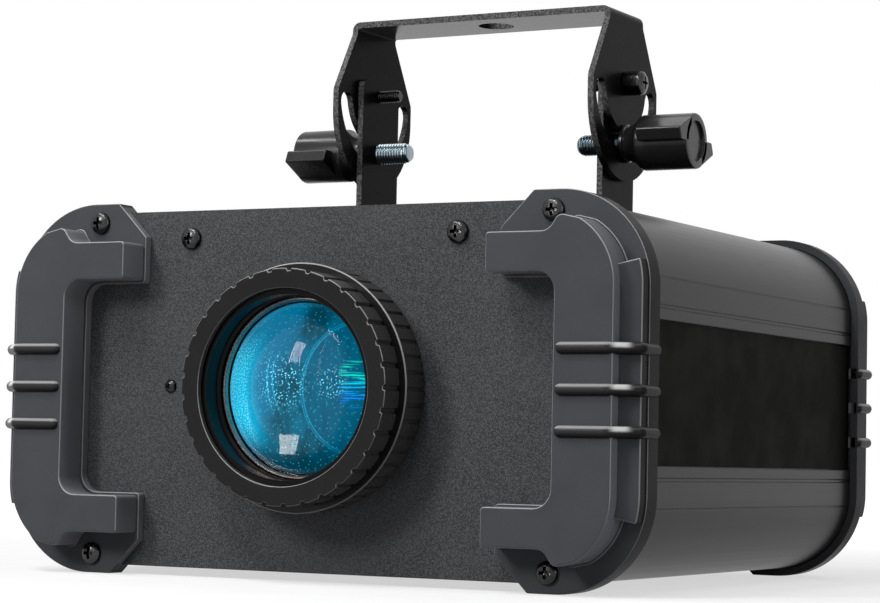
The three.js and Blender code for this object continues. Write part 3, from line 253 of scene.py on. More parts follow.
def select_faces(piece: Piece, test: Callable[[Vector, Vector], bool]) -> None:
    """Open a piece with the faces selected that pass a test.

    Args:
        piece: The piece.
        test: Takes a face's middle in drawing millimetres and its normal.
    """
    edit(piece, "FACE")
    bpy.ops.object.mode_set(mode="OBJECT")
    for face in piece.data.polygons:
        face.select = test((face.center - ZERO) / MM, face.normal)
    bpy.ops.object.mode_set(mode="EDIT")


def looks_front(_: Vector, normal: Vector) -> bool:
    """Tell whether a face looks along -Y."""
    return normal.y < -SQUARE_ON


def looks_back(_: Vector, normal: Vector) -> bool:
    """Tell whether a face looks along +Y."""
    return normal.y > SQUARE_ON


def tidy(piece: Piece) -> None:
    """Merge doubles and turn all faces outwards."""
    edit(piece)
    bpy.ops.mesh.select_all(action="SELECT")
    bpy.ops.mesh.remove_doubles(threshold=WELD)
    bpy.ops.mesh.normals_make_consistent(inside=False)
    bpy.ops.object.mode_set(mode="OBJECT")


def chain(points: Sequence[Vector]) -> Piece:
    """Draw a chain of edges, vertex by vertex.

    Args:
        points: The points in the frame.

    Returns:
        The new piece, left in edit mode.
    """
    release()
    bpy.ops.mesh.primitive_plane_add(size=MM, location=(0, 0, 0))
    piece = bpy.context.object
    bpy.ops.object.mode_set(mode="EDIT")
    bpy.ops.mesh.select_mode(type="VERT")
    bpy.ops.mesh.select_all(action="SELECT")
    bpy.ops.mesh.merge(type="CENTER")
    bpy.ops.transform.translate(value=points[0])
    for start, end in zip(points, points[1:]):
        bpy.ops.mesh.extrude_region_move(TRANSFORM_OT_translate={"value": end - start})
    return piece


def fill() -> None:
    """Fill the open chain with a face, and leave the face selected."""
    bpy.ops.mesh.select_all(action="SELECT")
    bpy.ops.mesh.edge_face_add()
    bpy.ops.mesh.select_mode(type="FACE")
    bpy.ops.mesh.select_all(action="SELECT")


def plate(axis: Axis, outline: Sequence[Point], start: float, end: float) -> Piece:
    """Fill an outline and extrude it along an axis.

    Args:
        axis: Axis that the outline is square to.
        outline: Its points.
        start: Station of the first face.
        end: Station of the last face.

    Returns:
        The new piece.
    """
    piece = chain([axis.lay(u, v, start) for u, v in outline])
    fill()
    run = axis.way * (end - start) * MM
    bpy.ops.mesh.extrude_region_move(TRANSFORM_OT_translate={"value": run})
    tidy(piece)
    return piece


def lathe(
    axis: Axis, profile: Sequence[Point], centre: Point = (0.0, 0.0), steps: int = 64
) -> Piece:
    """Spin a profile round an axis.

    Args:
        axis: The axis.
        profile: (radius, station) points; one that leaves the axis is closed on itself.
        centre: Where the axis is, in its own plane.
        steps: Number of steps in the turn.

    Returns:
        The new piece.
    """
    points = list(profile)
    if points[0][0] > 0 or points[-1][0] > 0:
        points.append(points[0])
    piece = chain([axis.lay(centre[0] + r, centre[1], s) for r, s in points])
    bpy.ops.mesh.select_all(action="SELECT")
    bpy.ops.mesh.spin(steps=steps, angle=2 * math.pi, center=axis.lay(*centre, 0.0), axis=axis.way)
    tidy(piece)
    return piece


def tube(points: Sequence[Vector], radius: float, domed: bool = False) -> Piece:
    """Run a round bar along a path.

    Args:
        points: The path's points in the frame.
        radius: Radius of the bar in millimetres.
        domed: Whether the bar rounds off over its first and last points.

    Returns:
        The new piece.
    """
    piece = chain(points)
    take(piece)
    bpy.ops.object.convert(target="CURVE")
    piece = bpy.context.object
    line = piece.data.splines[0]
    if domed:
        ends = [Vector(line.points[place].co[:3]) for place in (0, -1)]
        for spot in line.points:
            along = min((Vector(spot.co[:3]) - end).length for end in ends)
            short = max(0.0, 1 - along / (radius * MM))
            spot.radius = max(0.02, math.sqrt(1 - short * short))
    piece.data.bevel_depth = radius * MM
    piece.data.bevel_resolution = 4
    piece.data.use_fill_caps = True
    bpy.ops.object.convert(target="MESH")
    tidy(piece)
    return piece


def prism_ring(outer: Sequence[Point], bore: float, start: float, end: float) -> Piece:
    """Make a plate square to the lens axis with a round bore on it.

    Args:
        outer: Outer outline.
        bore: Radius of the bore.
        start: Station of the first face.
        end: Station of the last face.

    Returns:
        The new piece.
    """
    piece = plate(Axis.Y, outer, start, end)
    return cut(piece, plate(Axis.Y, circle((0, 0), bore, 128), start - 1, end + 1))


def modify(piece: Piece, kind: str, **settings: object) -> Piece:
    """Put a modifier on a piece and apply it.

    Args:
        piece: The piece.
        kind: The modifier's type.
        **settings: Properties to set on it.

    Returns:
        The piece.
    """
    take(piece)
    bpy.ops.object.modifier_add(type=kind)
    modifier = piece.modifiers[-1]
    for name, value in settings.items():
        setattr(modifier, name, value)
    bpy.ops.object.modifier_apply(modifier=modifier.name)
    return piece


def boolean(piece: Piece, tools: Sequence[Piece], operation: str) -> Piece:
    """Apply boolean modifiers to a piece and remove their tools.

    Args:
        piece: The piece that stays.
        tools: Pieces that are used up.
        operation: DIFFERENCE, UNION or INTERSECT.

    Returns:
        The piece.
    """
    for tool in tools:
        modify(piece, "BOOLEAN", operation=operation, object=tool, solver="EXACT")
        discard(tool)
    return piece


def cut(piece: Piece, *tools: Piece) -> Piece:
    """Cut tools out of a piece."""
    return boolean(piece, tools, "DIFFERENCE")


def fuse(piece: Piece, *others: Piece) -> Piece:
    """Join other pieces into one piece as they are."""
    take(piece)
    for other in others:
        other.select_set(True)
    bpy.ops.object.join()
    return piece


def bevel(piece: Piece, width: float, segments: int = 2, angle: float = 30.0) -> Piece:
    """Round the sharp edges of a piece.

    Args:
        piece: The piece.
        width: Width in millimetres.
        segments: Faces across each rounded edge.
        angle: Smallest angle of an edge that is rounded, in degrees.

    Returns:
        The piece.
    """
    return modify(
        piece,
        "BEVEL", width=width * MM, segments=segments, limit_method="ANGLE",
        angle_limit=math.radians(angle), miter_outer="MITER_ARC", use_clamp_overlap=True,
    )


def bevel_faces(
    piece: Piece, width: float, segments: int, test: Callable[[Vector, Vector], bool],
) -> Piece:
    """Round the rims of the faces that pass a test.

    Args:
        piece: The piece.
        width: Width in millimetres.
        segments: Faces across each rounded edge.
        test: Takes a face's middle in drawing millimetres and its normal.

    Returns:
        The piece.
    """
    select_faces(piece, test)
    bpy.ops.mesh.region_to_loop()
    bpy.ops.mesh.bevel(offset=width * MM, segments=segments, affect="EDGES", clamp_overlap=True)
    bpy.ops.object.mode_set(mode="OBJECT")
    return piece


def shade(piece: Piece, angle: float = 40.0) -> Piece:
    """Shade a piece smooth except at its sharp edges, with flat faces kept flat.

    Args:
        piece: The piece.
        angle: Smallest angle of an edge that stays sharp, in degrees.

    Returns:
        The piece.
    """
    take(piece)
    bpy.ops.object.shade_smooth_by_angle(angle=math.radians(angle))
    return modify(piece, "WEIGHTED_NORMAL", keep_sharp=True)


def discard(*pieces: Piece) -> None:
    """Remove pieces that were only patterns."""
    for piece in pieces:
        take(piece)
        bpy.ops.object.delete()


def moved_copy(piece: Piece, shift: Sequence[float]) -> Piece:
    """Copy a piece to another place.

    Args:
        piece: The piece to copy.
        shift: How far, in millimetres.

    Returns:
        The copy, with its own mesh.
    """
    take(piece)
    bpy.ops.object.duplicate()
    copy = bpy.context.object
    bpy.ops.transform.translate(value=Vector(shift) * MM)
    bpy.ops.object.transform_apply(location=True, rotation=True, scale=True)
    return copy


def turned_copy(piece: Piece, axis: Axis, centre: Vector, degrees: float = 180.0) -> Piece:
    """Copy a piece, turned about an axis through a point.

    Args:
        piece: The piece to copy.
        axis: Axis of the turn.
        centre: Point in the frame that the axis passes through.
        degrees: Angle of the turn.

    Returns:
        The copy, with its own mesh.
    """
    take(piece)
    bpy.ops.object.duplicate()
    copy = bpy.context.object
    turn = Matrix.Rotation(math.radians(degrees), 4, axis.way)
    copy.matrix_world = Matrix.Translation(centre) @ turn @ Matrix.Translation(-centre)
    bpy.context.view_layer.update()
    bpy.ops.object.transform_apply(location=True, rotation=True, scale=True)
    return copy


# Finishes


class Paint:
    """A material's nodes, with short calls that add and wire them."""

    def __init__(self, name: str) -> None:
        """Start a material with a Principled shader.

        Args:
            name: The material's name.
        """
        self.material = bpy.data.materials.new(name)
        self.material.use_nodes = True
        self.tree = self.material.node_tree
        self.shader = self.tree.nodes["Principled BSDF"]
        texture = self.add("ShaderNodeTexCoord")
        self.places, self.normals = texture.outputs["Object"], texture.outputs["Normal"]

    def add(self, kind: str, **settings: object) -> bpy.types.Node:
        """Add a node.

        Args:
            kind: The node's type.
            **settings: Properties to set on it.

        Returns:
            The node.
        """
        node = self.tree.nodes.new(kind)
        for name, value in settings.items():
            setattr(node, name, value)
        return node

    def join(self, source: Socket, target: Socket) -> None:
        """Wire one socket to another."""
        self.tree.links.new(source, target)

    def feed(self, socket: Socket, value: object) -> None:
        """Give a socket a link or a constant.

        Args:
            socket: The socket.
            value: Another socket, or the constant.
        """
        if isinstance(value, Socket):
            self.join(value, socket)
        else:
            socket.default_value = value

    def dull(self, level: float) -> None:
        """Weaken the plain reflection of a surface that isn't polished."""
        self.constant(Specular_IOR_Level=level)

    def constant(self, **values: object) -> None:
        """Set constants on the shader's own sockets, by name with spaces as underscores."""
        for name, value in values.items():
            self.shader.inputs[name.replace("_", " ")].default_value = value

    def stretched(
        self,
        centre: Vector | None = None,
        scale: Sequence[float] = (1, 1, 1),
        turn: Sequence[float] = (0, 0, 0),
    ) -> Socket:
        """Give object coordinates centred on a point, turned and scaled.

        Args:
            centre: Point of the frame that becomes zero.
            scale: Scale along each axis.
            turn: Turn about each axis in radians.

        Returns:
            The vector socket.
        """
        shift = self.add("ShaderNodeVectorMath", operation="SUBTRACT")
        self.join(self.places, shift.inputs[0])
        shift.inputs[1].default_value = centre or (0, 0, 0)
        node = self.add("ShaderNodeMapping")
        self.join(shift.outputs[0], node.inputs["Vector"])
        node.inputs["Rotation"].default_value = turn
        node.inputs["Scale"].default_value = scale
        return node.outputs[0]

    def noise(
        self, size: float, detail: float = 2.0, roughness: float = 0.5,
        vector: Socket | None = None,
    ) -> Socket:
        """Give a noise whose features have a size.

        Args:
            size: Feature size in millimetres.
            detail: Octaves.
            roughness: Share of the fine octaves.
            vector: Coordinates, or None for plain object ones.

        Returns:
            The value socket.
        """
        node = self.add("ShaderNodeTexNoise")
        self.join(vector or self.places, node.inputs["Vector"])
        node.inputs["Scale"].default_value = 1 / (size * MM)
        node.inputs["Detail"].default_value = detail
        node.inputs["Roughness"].default_value = roughness
        return node.outputs["Fac"]

    def cells(self, size: float, vector: Socket | None = None, flat: bool = False) -> Socket:
        """Give the distance to scattered points.

        Args:
            size: Distance between points in millimetres.
            vector: Coordinates, or None for plain object ones.
            flat: Whether the points lie in the coordinates' first two directions.

        Returns:
            The distance socket.
        """
        node = self.add("ShaderNodeTexVoronoi", voronoi_dimensions="2D" if flat else "3D")
        self.join(vector or self.places, node.inputs["Vector"])
        node.inputs["Scale"].default_value = 1 / (size * MM)
        return node.outputs["Distance"]

    def ramp(
        self, value: Socket, low: float, high: float, start: float = 0.0, end: float = 1.0,
    ) -> Socket:
        """Map a range of a value onto another range, held at both ends.

        Args:
            value: The value.
            low: Value that gives start.
            high: Value that gives end.
            start: Result at low.
            end: Result at high.

        Returns:
            The value socket.
        """
        node = self.add("ShaderNodeMapRange", interpolation_type="SMOOTHSTEP")
        self.join(value, node.inputs["Value"])
        for name, number in zip(
            ("From Min", "From Max", "To Min", "To Max"), (low, high, start, end)
        ):
            node.inputs[name].default_value = number
        return node.outputs["Result"]

    def maths(self, operation: str, a: object, b: object = 0.0) -> Socket:
        """Combine two values.

        Args:
            operation: The Math node's operation.
            a: First value or socket.
            b: Second value or socket.

        Returns:
            The value socket.
        """
        node = self.add("ShaderNodeMath", operation=operation)
        self.feed(node.inputs[0], a)
        self.feed(node.inputs[1], b)
        return node.outputs[0]

    def times(self, a: object, b: object) -> Socket:
        """Multiply two values."""
        return self.maths("MULTIPLY", a, b)

    def blend(self, share: object, first: object, second: object) -> Socket:
        """Blend two colours.

        Args:
            share: Share of the second colour.
            first: Colour or socket.
            second: Colour or socket.

        Returns:
            The colour socket.
        """
        node = self.add("ShaderNodeMix", data_type="RGBA")
        self.feed(node.inputs["Factor"], share)
        for socket, value in ((node.inputs["A"], first), (node.inputs["B"], second)):
            self.feed(self._colour(node, socket.identifier[0]), value)
        return next(s for s in node.outputs if s.type == "RGBA")

    @staticmethod
    def _colour(node: bpy.types.Node, letter: str) -> Socket:
        """Find the colour input of a Mix node by its letter."""
        return next(s for s in node.inputs if s.name == letter and s.type == "RGBA")

    def axis_part(self, axis: Axis, vector: Socket) -> Socket:
        """Give one part of a vector."""
        node = self.add("ShaderNodeSeparateXYZ")
        self.join(vector, node.inputs[0])
        return node.outputs[axis.value]

    def facing(self) -> Socket:
        """Give how squarely the surface looks forwards or backwards, 0 to 1."""
        return self.maths("ABSOLUTE", self.axis_part(Axis.Y, self.normals))

    def rise(self) -> Socket:
        """Give how far the surface looks up, -1 to 1."""
        return self.axis_part(Axis.Z, self.normals)

    def coat(self, colour: Socket, rough: Socket) -> None:
        """Feed the shader its colour and roughness."""
        self.join(colour, self.shader.inputs["Base Color"])
        self.join(rough, self.shader.inputs["Roughness"])

    def relief(self, height: Socket, depth: float) -> None:
        """Raise the surface by a height.

        Args:
            height: The height's socket, 0 to 1.
            depth: Depth in millimetres.
        """
        node = self.add("ShaderNodeBump")
        node.inputs["Distance"].default_value = depth * MM
        node.inputs["Strength"].default_value = 1.0
        self.join(height, node.inputs["Height"])
        self.join(node.outputs["Normal"], self.shader.inputs["Normal"])


def grey(level: float) -> Colour:
    """Turn a screen grey of 0 to 255 into a linear colour."""
    return tint(level, level, level)


def tint(red: float, green: float, blue: float) -> Colour:
    """Turn a screen colour of 0 to 255 into a linear one.

    Args:
        red: Red level.
        green: Green level.
        blue: Blue level.

    Returns:
        Linear red, green and blue, and full alpha.
    """
    linear = [
        c / 12.92 if c <= 0.04045 else ((c + 0.055) / 1.055) ** 2.4
        for c in (red / 255, green / 255, blue / 255)
    ]
    return (*linear, 1.0)


@dataclass(frozen=True)
class Finish:
    """A surface finish, made into one material."""

    name: str

    def material(self) -> Material:
        """Give the finish's material, made on first use."""
        found = bpy.data.materials.get(self.name)
        return found or self.make()

    def make(self) -> Material:
        """Make the material; each kind of finish does it its own way."""
        raise NotImplementedError

    def dress(self, *pieces: Piece) -> None:
        """Put the finish on pieces as their only material.

        Args:
            *pieces: The pieces, shown solids among them.
        """
        made = self.material()
        for piece in pieces:
            if not piece.material_slots:
                piece.data.materials.append(made)
            for slot in piece.material_slots:
                slot.material = made


@dataclass(frozen=True)
class PowderCoat(Finish):
    """Textured powder coat on steel sheet, with painted highlights over front-facing cut edges and
    a painted reflection where it faces the floor.
    """

    base: Colour = grey(44)
    fleck: Colour = grey(80)
    edge: Colour | None = None
    grain: float = 1.4
    roughness: float = 0.55
    depth: float = 0.05
    gloss: float = 0.15
    under: Colour | None = None

    def make(self) -> Material:
        """Make the coat: flecks, faint mottling, fine orange peel, painted highlights on the cut
        edges and a painted floor reflection underneath.
        """
        paint = Paint(self.name)
        grain = paint.noise(self.grain, 3, 0.75)
        mottle = paint.noise(34, 2)
        body = paint.blend(paint.ramp(grain, 0.42, 0.64), self.base, self.fleck)
        body = paint.blend(paint.ramp(mottle, 0.35, 0.65, 0, 0.1), body, self.fleck)
        # Painted highlight: front-facing cut edges are made paler in speckles, standing in for the
        # light they catch.
        if self.edge:
            speckled_highlight = paint.ramp(paint.noise(1.1, 3, 0.8), 0.36, 0.68, 0.12, 1)
            rim = paint.times(paint.ramp(paint.facing(), 0.6, 0.9), speckled_highlight)
            body = paint.blend(rim, body, self.edge)
        rough = paint.ramp(grain, 0.3, 0.7, self.roughness - 0.08, self.roughness + 0.1)
        # Painted reflection: faces that look down are made paler, standing in for the floor light
        # they reflect.
        if self.under:
            down = paint.ramp(paint.rise(), -0.98, -0.85, 1, 0)
            body = paint.blend(down, body, self.under)
            rough = paint.times(rough, paint.maths("SUBTRACT", 1.0, paint.times(down, 0.6)))
        paint.coat(body, rough)
        paint.dull(self.gloss)
        paint.relief(grain, self.depth)
        return paint.material


SHOULDER_SPOT = {Axis.X: 114.6, Axis.Z: 41.6}


@dataclass(frozen=True)
class Moulding(Finish):
    """Injection moulded plastic with a fine eroded grain, with painted side tones: shade on the
    bumpers' outer flanks, light on the rings' flanks and on inner walls, and highlights along
    edges.
    """

    base: Colour = grey(70)
    shade: Colour = grey(60)
    grain: float = 0.3
    roughness: float = 0.45
    depth: float = 0.015
    gloss: float = 0.3
    edge: Colour | None = None
    flank: Colour | None = None
    flank_all: bool = False
    wall: Colour | None = None
    wall_reach: Point = (34.0, 37.0)
    shell_reach: Point = (38.2, 39.0)

    @staticmethod
    def reach(paint: Paint) -> Socket:
        """Give how far the surface is from the middles of the housing's round shoulders."""
        place = paint.stretched(ZERO, (1 / MM,) * 3)
        squares = []
        for axis, start in SHOULDER_SPOT.items():
            past = paint.maths("ABSOLUTE", paint.axis_part(axis, place))
            past = paint.maths("MAXIMUM", paint.maths("SUBTRACT", past, start), 0.0)
            squares.append(paint.times(past, past))
        return paint.maths("SQRT", paint.maths("ADD", *squares))

    def make(self) -> Material:
        """Make the plastic: soft cloudiness, uneven gloss, fine grain, painted light and shade on
        flanks and walls, and painted edge highlights.
        """
        paint = Paint(self.name)
        cloud = paint.noise(18, 3)
        speck = paint.noise(1.1, 3, 0.7)
        body = paint.blend(paint.ramp(cloud, 0.3, 0.7), self.base, self.shade)
        body = paint.blend(paint.ramp(speck, 0.55, 0.8, 0, 0.25), body, self.shade)
        facing = paint.facing()
        # Painted shade and light: faces that look sideways take the flank tone (dark on the
        # bumpers' outer shell, pale on the rings), standing in for how light falls on them.
        if self.flank:
            aside = paint.ramp(facing, 0.25, 0.5, 1, 0)
            if not self.flank_all:
                reach = self.reach(paint)
                # Painted light: sideways faces near the shoulders, the grips' inner walls, take the
                # paler wall tone.
                if self.wall:
                    within = paint.times(aside, paint.ramp(reach, *self.wall_reach, 1, 0))
                    body = paint.blend(within, body, self.wall)
                aside = paint.times(aside, paint.ramp(reach, *self.shell_reach))
            body = paint.blend(aside, body, self.flank)
        # Painted highlight: the middle of rounded edges, more on upward-facing ones, takes the pale
        # edge tone, standing in for light caught by the fillets.
        if self.edge:
            band = paint.times(paint.ramp(facing, 0.2, 0.45), paint.ramp(facing, 0.78, 0.9, 1, 0))
            lifted = paint.ramp(paint.rise(), -0.35, 0.3, 0.3, 0.85)
            body = paint.blend(paint.times(band, lifted), body, self.edge)
        rough = paint.ramp(cloud, 0.3, 0.7, self.roughness - 0.05, self.roughness + 0.06)
        paint.coat(body, rough)
        paint.dull(self.gloss)
        paint.relief(paint.noise(self.grain, 2, 0.6), self.depth)
        return paint.material


@dataclass(frozen=True)
class RibPlastic(Finish):
    """The bumper's plastic on its round ribs, with painted highlights along the crown and over the
    bend, and painted shade below and at the side ends.
    """

    base: Colour = grey(56)
    line: Colour = grey(165)
    shine: Colour = grey(205)
    dark: Colour = grey(22)
    half_length: float = 124.0

    def make(self) -> Material:
        """Make the plastic: a painted highlight line along the crown, a painted highlight over the
        bend at the pad, and painted shade underneath and at the side ends.
        """
        paint = Paint(self.name)
        place = paint.stretched(at(0, self.half_length, 0), (1 / MM,) * 3)
        across = paint.maths("ABSOLUTE", paint.axis_part(Axis.X, place))
        rise = paint.rise()
        grain = paint.noise(0.5, 2, 0.6)
        body = paint.blend(paint.ramp(grain, 0.3, 0.7, 0, 0.4), self.base, self.dark)
        # Painted highlight: a thin pale line along the upper crown.
        crown = paint.times(paint.ramp(rise, 0.3, 0.6), paint.ramp(rise, 0.82, 0.98, 1, 0.2))
        body = paint.blend(paint.times(crown, 0.7), body, self.line)
        # Painted highlight: the bend over the pad is made bright where it faces up and out.
        bend = paint.times(paint.ramp(across, 144.5, 147.5), paint.ramp(across, 150.5, 153.5, 1, 0))
        highlight_facing = paint.times(paint.ramp(rise, -0.15, 0.3), paint.ramp(rise, 0.75, 0.95, 1, 0))
        body = paint.blend(paint.times(bend, highlight_facing), body, self.shine)
        # Painted shade: faces that look down are darkened.
        below = paint.ramp(rise, -0.7, -0.1, 0.85, 0)
        body = paint.blend(below, body, self.dark)
        # Painted shade: on the front half, the rib parts out at the side are darkened, less on
        # faces that look forwards or backwards.
        facing = paint.facing()
        front = paint.ramp(paint.axis_part(Axis.Y, place), -5, 5, 0.9, 0)
        side = paint.times(paint.ramp(across, 149.5, 152.5), front)
        side = paint.times(side, paint.ramp(facing, 0.5, 0.9, 1, 0.4))
        body = paint.blend(side, body, self.dark)
        paint.coat(body, paint.ramp(grain, 0.3, 0.7, 0.26, 0.34))
        paint.dull(0.05)
        paint.relief(grain, 0.006)
        return paint.material


@dataclass(frozen=True)
class DrawnMetal(Finish):
    """Metal with faint lines along the way it was drawn or turned."""

    base: Colour = grey(160)
    stain: Colour = grey(140)
    metal: float = 1.0
    roughness: float = 0.35
    lines: Spot = (1.0, 0.02, 1.0)
    line_size: float = 0.5
    depth: float = 0.006
    gloss: float = 0.5
    uneven: float = 0.06

    def make(self) -> Material:
        """Make the metal: drawing lines, a faint stain and uneven gloss."""
        paint = Paint(self.name)
        lines = paint.noise(self.line_size, 2, 0.6, paint.stretched(scale=self.lines))
        stain = paint.noise(14, 3)
        body = paint.blend(paint.ramp(stain, 0.3, 0.7), self.base, self.stain)
        body = paint.blend(paint.ramp(lines, 0.5, 0.75, 0, 0.3), body, self.stain)
        dull, bright = self.roughness + self.uneven, self.roughness - self.uneven
        paint.coat(body, paint.ramp(lines, 0.3, 0.7, bright, dull))
        paint.constant(Metallic=self.metal)
        paint.dull(self.gloss)
        paint.relief(lines, self.depth)
        return paint.material


@dataclass(frozen=True)
class Glass(Finish):
    """Clear or tinted glass with a little dust."""

    base: Colour = grey(250)
    roughness: float = 0.0
    mirror: float = 1.0
    ripple: float = 0.0
    ripple_size: float = 9.0

    def make(self) -> Material:
        """Make the glass: transmission, a dusty gloss and a ripple if it has one."""
        paint = Paint(self.name)
        dust = paint.noise(2.5, 4, 0.7)
        paint.coat(
            paint.blend(paint.ramp(dust, 0.55, 0.8, 0, 0.06), self.base, grey(225)),
            paint.ramp(dust, 0.6, 0.85, self.roughness, self.roughness + 0.05),
        )
        paint.constant(Transmission_Weight=1.0, IOR=1.5, Specular_Tint=(*(self.mirror,) * 3, 1.0))
        if self.ripple > 0:
            paint.relief(paint.noise(self.ripple_size, 1), self.ripple)
        return paint.material


@dataclass(frozen=True)
class CircuitBoard(Finish):
    """Solder mask with tracks and pads, or a bare white board."""

    base: Colour = tint(24, 82, 48)
    track: Colour = tint(44, 118, 72)

    def make(self) -> Material:
        """Make the board: straight tracks and round pads in the mask."""
        paint = Paint(self.name)
        brick = paint.add("ShaderNodeTexBrick", offset=0.5, squash=1.4)
        paint.join(paint.stretched(scale=(420, 180, 180)), brick.inputs["Vector"])
        brick.inputs["Scale"].default_value = 1.0
        brick.inputs["Mortar Size"].default_value = 0.06
        pads = paint.ramp(paint.cells(4.2), 0.12, 0.2, 1, 0)
        body = paint.blend(brick.outputs["Fac"], self.base, self.track)
        body = paint.blend(paint.times(pads, 0.7), body, grey(170))
        paint.coat(body, paint.ramp(pads, 0, 1, 0.42, 0.25))
        paint.relief(brick.outputs["Fac"], 0.04)
        return paint.material


@dataclass(frozen=True)
class TintFilm(Finish):
    """Painted light: the lit glass seen through the lens, painted on a film that glows: cyan, with
    ripples, bubbles and bright streaks.
    """

    centre: Vector = field(default_factory=lambda: at(0, -8, 0))
    glow: float = 0.65

    def make(self) -> Material:
        """Make the film: a lit left rim, the ring of the glass behind, bubbles and streaks, all
        painted in and given off as glow.
        """
        paint = Paint(self.name)
        place = paint.stretched(self.centre, (1 / MM,) * 3)
        across, up = paint.axis_part(Axis.X, place), paint.axis_part(Axis.Z, place)

        def ring(x: float, z: float) -> Socket:
            """Give the distance from a point of the film."""
            node = paint.add("ShaderNodeVectorMath", operation="DISTANCE")
            flat = paint.add("ShaderNodeCombineXYZ")
            paint.join(across, flat.inputs[0])
            paint.join(up, flat.inputs[2])
            paint.join(flat.outputs[0], node.inputs[0])
            node.inputs[1].default_value = (x, 0, z)
            return node.outputs["Value"]

        def line(x: float, z: float, radius: float) -> Socket:
            """Give a thin bright circle round a point."""
            off = paint.maths("ABSOLUTE", paint.maths("SUBTRACT", ring(x, z), radius))
            return paint.ramp(off, 0.12, 0.3, 1, 0)

        smear = paint.noise(6, 4, 0.65, paint.stretched(scale=(1, 1, 0.4)))
        deep, plain, lit = tint(0, 58, 74), tint(0, 90, 116), tint(0, 184, 222)
        body = paint.blend(paint.ramp(smear, 0.35, 0.68), deep, plain)
        lean = paint.maths("SUBTRACT", paint.times(up, 0.35), across)
        body = paint.blend(paint.ramp(lean, 6, 16, 0, 0.75), body, tint(0, 112, 152))
        height = paint.times(paint.ramp(up, -30, -8, 0.1, 1), paint.ramp(up, 6, 24, 1, 0.2))
        rim = paint.times(paint.ramp(ring(12, 1), 29, 41), height)
        body = paint.blend(rim, body, lit)
        sheet = paint.stretched(turn=(math.pi / 2, 0, 0))
        frost = paint.ramp(paint.cells(1.0, sheet, True), 0.1, 0.3, 1, 0)
        spray = paint.times(frost, paint.ramp(ring(12, -1), 34.5, 38.5))
        spray = paint.times(spray, paint.ramp(up, -26, -12))
        spray = paint.times(spray, paint.ramp(up, 12, 24, 1, 0))
        body = paint.blend(paint.times(spray, 0.8), body, tint(150, 244, 255))
        disc = paint.ramp(ring(28, 0), 27.6, 28.2, 1, 0)
        body = paint.blend(paint.times(disc, 0.7), body, tint(0, 82, 110))
        for radius, share in ((27.9, 0.55), (27.0, 0.85)):
            arc_line = paint.times(line(28, 0, radius), share)
            body = paint.blend(arc_line, body, tint(10, 138, 172))
        for x, radius in ((16, 30.5), (12, 24.2)):
            zone = paint.times(line(x, 4, radius), paint.ramp(ring(-12, 2), 6, 12, 1, 0))
            body = paint.blend(paint.times(zone, 0.8), body, tint(40, 160, 190))
        # Painted shade: the film is darkened towards the bottom.
        body = paint.blend(paint.ramp(up, -32, -15, 0.75, 0), body, tint(0, 44, 56))
        bubbles = paint.ramp(paint.cells(1.3, sheet, True), 0.1, 0.25, 1, 0)
        picked = paint.ramp(paint.noise(2.6, 2), 0.4, 0.5)
        near = paint.maths(
            "MAXIMUM", paint.ramp(ring(-8, 3), 5, 14, 1, 0), paint.ramp(ring(13, 2), 3, 8, 1, 0)
        )
        specks = paint.times(paint.times(bubbles, picked), near)
        body = paint.blend(specks, body, tint(130, 232, 250))
        stray = paint.ramp(paint.cells(2.6, sheet, True), 0.05, 0.11, 0.7, 0)
        body = paint.blend(stray, body, tint(60, 190, 220))
        long = paint.stretched(scale=(0.04, 1, 1))
        streaks = paint.ramp(paint.noise(0.8, 1, 0.5, long), 0.5, 0.6)
        zone = paint.times(paint.ramp(across, 14, 20), paint.ramp(ring(24, 2), 7, 11, 1, 0))
        hue = paint.blend(paint.ramp(up, -6, 8), tint(0, 120, 250), tint(10, 214, 180))
        body = paint.blend(paint.times(streaks, zone), body, hue)
        # The painted pattern is also fed as emission, so the film glows though it is no lamp.
        paint.feed(paint.shader.inputs["Base Color"], body)
        paint.feed(paint.shader.inputs["Emission Color"], body)
        paint.constant(Emission_Strength=self.glow, Roughness=0.03)
        paint.dull(0.16)
        paint.relief(smear, 0.004)
        return paint.material


FRONT_COAT = PowderCoat(
    "front_powder_coat", tint(42, 43, 44), tint(89, 90, 92), grain=0.5, gloss=0.12
)
CASE_COAT = PowderCoat(
    "case_powder_coat", grey(24), grey(40), grain=0.7, roughness=0.5, depth=0.04, gloss=0.08
)
# Its edge tone paints highlights on front-facing cut edges; its under tone paints the floor's
# reflection on faces that look down.
YOKE_COAT = PowderCoat(
    "yoke_powder_coat", grey(9), grey(15), edge=grey(112), under=grey(80), grain=0.6,
    roughness=0.28, depth=0.02, gloss=0.03,
)
# Edge paints highlights on rounded edges, flank paints shade on the outer shell's sides, wall
# paints light on the grips' inner walls.
BUMPER_PLASTIC = Moulding(
    "bumper_plastic_grain", tint(74, 75, 78), tint(70, 71, 74), roughness=0.3, depth=0.008,
    gloss=0.03, edge=grey(175), flank=grey(10), wall=tint(118, 119, 123),
)
RIB_PLASTIC = RibPlastic("bumper_rib_plastic")
RAIL_METAL = DrawnMetal(
    "rail_anodised", grey(44), grey(42), metal=0.35, roughness=0.3, lines=(1.0, 0.004, 1.0),
    line_size=1.6, depth=0.0008, gloss=0.06, uneven=0.012,
)
LABEL_FILM = Moulding(
    "label_matt_film", tint(18, 18, 16), tint(17, 17, 15), grain=0.25, roughness=0.6, depth=0.01,
    gloss=0.02,
)
